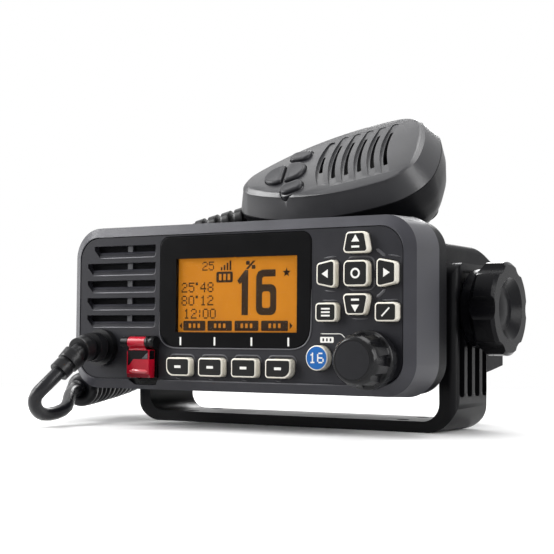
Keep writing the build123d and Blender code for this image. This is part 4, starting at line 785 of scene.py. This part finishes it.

# ---------------------------------------------------------------- raised edges of the front, lighter as painted highlights
# Edges of the wells that the pad's keys stand in, from the pad's middle
PAD_EDGES = (
    [(-4.4, 5.1), (-3.6, 6.0), (4.6, 6.0), (6.3, 4.6), (6.4, 0.8)],
    [(-3.9, -5.3), (-3.2, -6.0), (4.6, -6.0), (6.3, -4.8), (6.4, -1.6)],
    [(-14.4, 5.9), (-11.6, 6.2), (-9.2, 6.4)],
    [(-14.0, -5.9), (-11.8, -6.2), (-9.6, -6.4)],
    [(11.8, 6.4), (14.2, 6.1), (16.6, 5.6)],
    [(-15.0, -9.5), (-12.1, -9.7), (-8.8, -9.6)],
    [(9.4, -9.6), (12.1, -9.7), (15.6, -9.5)],
    [(-2.6, -16.2), (0.6, -16.4), (4.0, -16.1)],
)
# Arcs of a raised ring, between the right key and the up and down keys
PAD_ARCS = ([(6.9, 8.5), (8.2, 7.9), (10.6, 5.9)], [(7.0, -8.6), (8.4, -7.9), (10.7, -5.7)])


def front_ridge(name, lines, width, height, taper, finish=PAINTED_EDGE_HIGHLIGHT, depth=INLAY_DROP):
    """A ridge on the plate of the front, if no other depth is given, in a lighter colour
    that paints a highlight on it unless another finish is given.
    """
    ridge(name, lines, width, height, depth, "radio", finish, taper)


def display_foot():
    """Line along the lower edge of the display's surround and up its two sides."""
    left, right, low = WINDOW_LEFT - 0.1, WINDOW_RIGHT + 0.1, WINDOW_LOW - 0.1
    return bend([(left, low + 14.1), (left, low), (right, low), (right, low + 22.1)], 9.0)


def soft_key_edges(x):
    """Edge over a soft key and the short one below it."""
    half, top, low = SOFT_KEY_W / 2, SOFT_ROW_Z + SOFT_KEY_H / 2, SOFT_ROW_Z - SOFT_KEY_H / 2
    return [bend([(x - half - 0.2, top - 0.4), (x - half + 0.6, top + 1.05),
                  (x + half - 0.2, top + 1.05), (x + half + 1.0, top - 1.6)], 1.4),
            [(x - 2.6, low - 0.95), (x - 1.3, low - 1.2), (x, low - 1.3)]]


def slot_edge(row):
    """Lower edge of a speaker slot, bent up at its right end."""
    low = PANEL_TOP - SLOT_FROM_TOP - row * SLOT_PITCH - SLOT_H / 2
    left = PANEL_LEFT + SLOT_FROM_LEFT + SLOT_SLANT
    if row == 0:
        left += SLOT_TOP_INDENT
    right = PANEL_LEFT + SLOT_FROM_LEFT + SLOT_L + 0.1
    return bend([(left, low - 0.05), (right, low - 0.05), (right, low + 3.0)], 1.6)


# Raised lines in a lighter colour than the plate: painted highlights along the display's
# foot and the speaker slots' lower edges
front_ridge("display_foot_highlight", [display_foot()], 0.5, 0.34, taper=14.0)
well_edges = [edge for x in soft_key_x for edge in soft_key_edges(x)]
well_edges += [bend(on_pad(points), 1.4) for points in PAD_EDGES]
# Lighter grey ridges round the key wells and the pad: painted highlights on the wells'
# raised edges
front_ridge("key_well_highlights", well_edges, 0.65, 0.26, taper=1.6, finish=PAINTED_HIGHLIGHT_GREY)
front_ridge("pad_ring_highlight", [bend(on_pad(points), 2.0) for points in PAD_ARCS], 1.2, 0.32,
            taper=0.5, finish=PAINTED_HIGHLIGHT_GREY)
front_ridge("grille_edge_highlights", [slot_edge(row) for row in range(SLOT_COUNT)], 0.5, 0.2,
            taper=6.0)
# Raised line in a lighter colour: painted highlight where the front's plate meets the chin's
# bevel
chin_z = PANEL_BOTTOM + BEVEL_W - 0.15
front_ridge("chin_highlight", [bend([(-32.0, chin_z), (PANEL_RIGHT - 26.0, chin_z)], 1.0)],
            0.45, 0.16, taper=20.0, depth=0.0)

# line and frame printed between the pad and the dial
PRINT_PROUD = 0.04
print_z = PAD_Z - 21.7
front_ridge("dial_line", [bend([(PAD_X - 15.8, print_z), (PAD_X - 7.1, print_z),
                                (PAD_X - 4.9, print_z - 2.0)], 0.8)],
            0.28, PRINT_PROUD, taper=0.2, finish=MARK)
plates("dial_frame", [barred_box(PAD_X - 13.0, print_z - 2.2, (5.6, 2.1), 0.4, 1.5,
                                 (0.7, 1.1), 0.1)],
       INLAY_DROP - PRINT_PROUD, MARK_T, "radio", MARK)

# ---------------------------------------------------------------- emergency lid
LID_PANE_LOW = 7.3
LID_PANE_TOP = 10.75
LID_PANE_LEFT = 0.55
LID_PANE_RIGHT = 10.35


def on_lid(u, v, depth):
    """A point across and up the lid's face from its lower left corner, and behind it."""
    return at(LID_LEFT + u, depth - LID_PROUD, LID_LOW + v)


def on_lid_side(back, v, out):
    """A point of the lid's right side: behind its face, up it, and out of the side."""
    return on_lid(LID_W + out, v, back)


def lid_plate(name, outline, depth, thickness, finish, place=on_lid):
    """A thin plate that swings with the lid."""
    plates(name, [outline], depth, thickness, "lid", finish, place=place)


lid_plate("lid_window", [(LID_PANE_LEFT, 4.9), (1.2, 4.9), (3.2, LID_PANE_LOW),
                         (LID_PANE_RIGHT, LID_PANE_LOW), (LID_PANE_RIGHT, LID_PANE_TOP),
                         (LID_PANE_LEFT, LID_PANE_TOP)], -0.06, 0.1, LID_GLASS)
# painted glint: a grey patch standing for the reflection at the right of the window
lid_plate("lid_glint", [(7.4, 7.5), (10.2, 7.5), (10.2, 9.7), (9.2, 9.2), (8.4, 8.3)],
          -0.1, 0.05, PAINTED_HIGHLIGHT_GREY)
lid_plate("lid_side_window", [(0.5, LID_PANE_LOW), (3.6, LID_PANE_LOW),
                              (3.6, LID_PANE_TOP), (0.5, LID_PANE_TOP)],
          0.06, -0.12, LID_GLASS, place=on_lid_side)
# raised ridge in a lighter red: painted highlight low on the lid
ridge("lid_highlight_ridge", [[(1.3, 2.6), (3.0, 2.55), (6.0, 2.5), (9.0, 2.45), (10.3, 2.4)]],
      1.5, 0.5, 0.0, "lid", RED_PAINTED_HIGHLIGHT, taper=1.2, place=on_lid)
# darker red along the lid's lower lip: painted shade
lid_plate("lid_lip_shade", [(0.3, 0.15), (10.5, 0.15), (10.6, 1.3), (0.2, 1.5)], -0.05, 0.1,
          RED_PAINTED_SHADE)

# ---------------------------------------------------------------- microphone keys
MIC_MIDDLE = at(MIC_X, MIC_BEHIND, MIC_Z)
mic_u = Vector((math.cos(MIC_YAW) * math.cos(MIC_PITCH),
                math.sin(MIC_YAW) * math.cos(MIC_PITCH), math.sin(MIC_PITCH)))
mic_level = Vector((0, 0, 1)).cross(mic_u).normalized()
mic_v = mic_level * math.cos(MIC_TILT) + mic_u.cross(mic_level) * math.sin(MIC_TILT)
mic_w = mic_u.cross(mic_v)
BOW_STEPS = 20
PAIR_CORNER_R = 1.4
# each level is an inset of the outline and a depth below the microphone's face
CAP_LEVELS = ((0, 0.2), (0, -0.6), (0.12, -1.05), (0.4, -1.38), (0.8, -1.52), (1.5, -1.5),
              (2.4, -1.4))
SKIRT_LEVELS = ((0, 3.3), (0, 0.35), (0.15, 0.12))


def on_mic(u, v, depth):
    """A point of the microphone: along it, across it and below its crowned face."""
    high = MIC_FACE_D - v * v / (2 * MIC_CROWN_R) - depth
    return MIC_MIDDLE + (mic_u * (u - MIC_L / 2) + mic_v * v + mic_w * high) * MM


def half_oval():
    """Outline of one key of the pair: a straight inner side and a bowed outer one."""
    inner, outer, half = MIC_PAIR_SPLIT / 2, MIC_PAIR_L / 2, MIC_PAIR_W / 2
    radius = (half ** 2 + (outer - inner) ** 2) / (2 * (outer - inner))
    middle = outer - radius
    sweep = math.pi - math.atan2(half, middle - inner)
    angles = [sweep * (2 * step / BOW_STEPS - 1) for step in range(BOW_STEPS + 1)]
    bow = [(middle + radius * math.cos(angle), radius * math.sin(angle))
           for angle in angles]
    return rounded(bow, [PAIR_CORNER_R] + [0] * (BOW_STEPS - 1) + [PAIR_CORNER_R])


def laid(points, ahead, across, turn):
    """An outline turned by degrees and moved from the middle of the pair of keys."""
    cos, sin = math.cos(math.radians(turn)), math.sin(math.radians(turn))
    u, v = MIC_KEY_U + ahead, MIC_KEY_V + across
    return [(u + a * cos - b * sin, v + a * sin + b * cos) for a, b in points]


def side_key(length, width, radius, out, side):
    """A key beside the pair; side is -1 for the near one and 1 for the far one."""
    return laid(box_outline(0, 0, length, width, radius), MIC_SIDE_AHEAD, side * out,
                -side * MIC_SIDE_TURN)


def soft_cap(name, outline, levels, body, finish, node=None):
    """A closed form with a rounded rim: rings of its outline at the levels given."""
    mesh = bmesh.new()
    rings = []
    for distance, depth in levels:
        ring = inset(outline, distance) if distance else outline
        rings.append([mesh.verts.new(on_mic(u, v, depth)) for u, v in ring])
    skin(mesh, rings)
    add_piece(mesh, name, body, finish, sharp_angle=60, node=node)


def dress_mic_key(name, cap, skirt):
    """The soft cap that stands for a key, and the shell's edge round its foot."""
    soft_cap(name + "_cap", cap, CAP_LEVELS, name, MIC_KEY, node=name)
    soft_cap(name + "_skirt", skirt, SKIRT_LEVELS, name, MIC)


for key, turn in (("mic_key_high", 0), ("mic_key_low", 180)):
    oval = laid(half_oval(), 0, 0, turn)
    dress_mic_key(key, oval, oval)
for key, side in (("mic_key_near", -1), ("mic_key_far", 1)):
    dress_mic_key(key, side_key(9.9, 6.9, 2.9, 12.45, side),
                  side_key(MIC_SIDE_L, MIC_SIDE_W, 3.1, MIC_SIDE_OUT, side))

# ---------------------------------------------------------------- dial
plates("dial_face_disc", [circle_outline(DIAL_X, DIAL_Z, DIAL_DISC_R, steps=64)],
       DIAL_FRONT - 0.05, 0.3, "dial", DIAL_FACE)


# ---------------------------------------------------------------- cord
def nurbs(name, points, resolution):
    """A smooth open curve whose control points are given in the frame's metres."""
    data = bpy.data.curves.new(name, "CURVE")
    data.dimensions = "3D"
    spline = data.splines.new("NURBS")
    spline.points.add(len(points) - 1)
    for control, point in zip(spline.points, points):
        control.co = (*point, 1.0)
    spline.order_u = 3
    spline.use_endpoint_u = True
    spline.resolution_u = resolution
    return link(name, data)


def centreline(points):
    """Points read from the smooth curve through a route."""
    guide = nurbs("guide", points, 8)
    bpy.context.view_layer.update()
    mesh = bpy.data.meshes.new_from_object(guide)
    line = [vertex.co.copy() for vertex in mesh.vertices]
    bpy.data.meshes.remove(mesh)
    bpy.data.objects.remove(guide)
    return line


def stations_along(line):
    """Distance, point, direction and a side that doesn't twist, at each point of a line."""
    stations = []
    side = (line[1] - line[0]).orthogonal().normalized()
    run = 0.0
    for index, point in enumerate(line):
        ahead = line[min(index + 1, len(line) - 1)] - line[max(index - 1, 0)]
        tangent = ahead.normalized()
        side = (side - tangent * side.dot(tangent)).normalized()
        if index:
            run += (point - line[index - 1]).length
        stations.append((run, point, tangent, side.copy()))
    return stations


def between(stations, run):
    """Point, direction and side at a distance along the line."""
    for before, after in zip(stations, stations[1:]):
        if after[0] >= run:
            share = (run - before[0]) / max(after[0] - before[0], 1e-9)
            point, tangent, side = (a.lerp(b, share) for a, b in zip(before[1:], after[1:]))
            tangent.normalize()
            return point, tangent, (side - tangent * side.dot(tangent)).normalized()
    return stations[-1][1:]


def curls():
    """Points of the curly part's turns, which open out at both of its ends."""
    stations = stations_along(centreline([at(*point) for point in CURL]))
    length = stations[-1][0]
    steps = round(length / (TURN_PITCH * MM)) * TURN_STEPS
    points = []
    for step in range(1, steps):
        point, tangent, side = between(stations, length * step / steps)
        opened = min(1.0, step / (OPENING * TURN_STEPS),
                     (steps - step) / (OPENING * TURN_STEPS))
        outwards = Quaternion(tangent, -2 * math.pi * step / TURN_STEPS) @ side
        points.append(point + outwards * TURN_R * MM * math.sin(opened * math.pi / 2))
    return points


route = [at(*point) for point in TAIL + CURL[:1]] + curls()
route += [at(*point) for point in CURL[-1:] + LEAD]
cord = nurbs("microphone_cord", route, 3)
cord.data.bevel_depth = CORD_D / 2 * MM
cord.data.bevel_resolution = 4
cord.data.use_fill_caps = True
cord.data.materials.append(CORD)
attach(cord, "radio")
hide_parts("cord_tail", "cord_curl", "cord_lead")

# ---------------------------------------------------------------- stage, in metres
FLOOR_SIZE = 8.0
FLOOR_GREY = 0.9           # under the object
FLOOR_BOUNCE = 0.28        # as a light on the object
FADE_TO_WHITE = (0.22, 0.45)           # distance from the middle
SKY_HEIGHTS = (-0.3, 1.0)
SKY_STRENGTHS = (0.2, 0.75)


def seen_directly(tree):
    """One for rays from the eye, from glossy surfaces and through glass."""
    path = tree.nodes.new("ShaderNodeLightPath")
    first = add_node(tree, "ShaderNodeMath", operation="MAXIMUM")
    tree.links.new(path.outputs["Is Camera Ray"], first.inputs[0])
    tree.links.new(path.outputs["Is Glossy Ray"], first.inputs[1])
    second = add_node(tree, "ShaderNodeMath", operation="MAXIMUM")
    tree.links.new(first.outputs[0], second.inputs[0])
    tree.links.new(path.outputs["Is Transmission Ray"], second.inputs[1])
    return second.outputs[0]


def mixed(tree, share, first, second):
    """The first surface where share is nothing, the second where it is one."""
    mix = tree.nodes.new("ShaderNodeMixShader")
    for socket, source in zip(mix.inputs, (share, first, second)):
        tree.links.new(source, socket)
    return mix.outputs[0]


def add_floor():
    """Pale grey where the shadow falls and white further out; as a light, darker."""
    bpy.ops.mesh.primitive_plane_add(size=FLOOR_SIZE, location=(0, 0, 0))
    floor = bpy.context.active_object
    floor.name = "floor"
    finish = bpy.data.materials.new("floor")
    finish.use_nodes = True
    tree = finish.node_tree
    near = tree.nodes["Principled BSDF"]
    near.inputs["Base Color"].default_value = (FLOOR_GREY, FLOOR_GREY, FLOOR_GREY, 1)
    near.inputs["Roughness"].default_value = 0.9
    near.inputs["Specular IOR Level"].default_value = 0.0
    far = add_node(tree, "ShaderNodeEmission", Strength=1.0)
    spot = tree.nodes.new("ShaderNodeTexCoord")
    distance = add_node(tree, "ShaderNodeVectorMath", operation="LENGTH")
    tree.links.new(spot.outputs["Object"], distance.inputs[0])
    fade = map_range(tree, distance.outputs["Value"], FADE_TO_WHITE, (0, 1),
                     interpolation_type="SMOOTHSTEP")
    seen = mixed(tree, fade, near.outputs[0], far.outputs[0])
    bounce = add_node(tree, "ShaderNodeBsdfDiffuse",
                      Color=(FLOOR_BOUNCE, FLOOR_BOUNCE, FLOOR_BOUNCE, 1))
    surface = mixed(tree, seen_directly(tree), bounce.outputs[0], seen)
    tree.links.new(surface, tree.nodes["Material Output"].inputs["Surface"])
    floor.data.materials.append(finish)


def add_sky():
    """White to the eye; as a light, a soft sky that fades towards the ground."""
    world = bpy.data.worlds.new("world")
    bpy.context.scene.world = world
    world.use_nodes = True
    tree = world.node_tree
    background = tree.nodes["Background"]
    background.inputs["Color"].default_value = (1, 1, 1, 1)
    spot = tree.nodes.new("ShaderNodeTexCoord")
    parts = tree.nodes.new("ShaderNodeSeparateXYZ")
    tree.links.new(spot.outputs["Generated"], parts.inputs[0])
    sky = map_range(tree, parts.outputs["Z"], SKY_HEIGHTS, SKY_STRENGTHS)
    strength = tree.nodes.new("ShaderNodeMix")
    tree.links.new(seen_directly(tree), strength.inputs[0])
    tree.links.new(sky, strength.inputs[2])
    strength.inputs[3].default_value = 1.0
    tree.links.new(strength.outputs[0], background.inputs["Strength"])


def softbox(name, place, aim, size, watts):
    """A rectangular lamp at a place, turned to what it lights."""
    data = bpy.data.lights.new(name, "AREA")
    data.shape = "RECTANGLE"
    data.size, data.size_y = size
    data.energy = watts
    lamp = link(name, data)
    lamp.location = place
    lamp.rotation_mode = "QUATERNION"
    lamp.rotation_quaternion = (Vector(aim) - Vector(place)).to_track_quat("-Z", "Y")


add_floor()
add_sky()
# name, place, aim, width and height, watts
softbox("key_light", (-1.10, -0.75, 0.50), (0, 0, 0.05), (0.7, 0.9), 16)
softbox("bevel_light", (-0.95, -0.45, 0.85), (0, 0, 0.05), (0.5, 0.4), 9)
softbox("mic_light", (-0.68, 0.38, 1.05), (0, 0, 0.1), (0.4, 0.4), 1.2)
softbox("low_light", (-1.30, -0.15, 0.22), (0, 0, 0.06), (0.5, 0.4), 2.5)
softbox("top_light", (0.15, 0.20, 1.20), (0, 0, 0.08), (0.9, 0.5), 8)
softbox("back_light", (-0.50, 1.25, 0.75), (0, 0.05, 0.05), (0.6, 0.5), 8)
softbox("side_light", (1.25, -0.15, 0.45), (0, 0, 0.05), (0.35, 0.9), 9)
bpy.context.scene.view_settings.view_transform = "Standard"
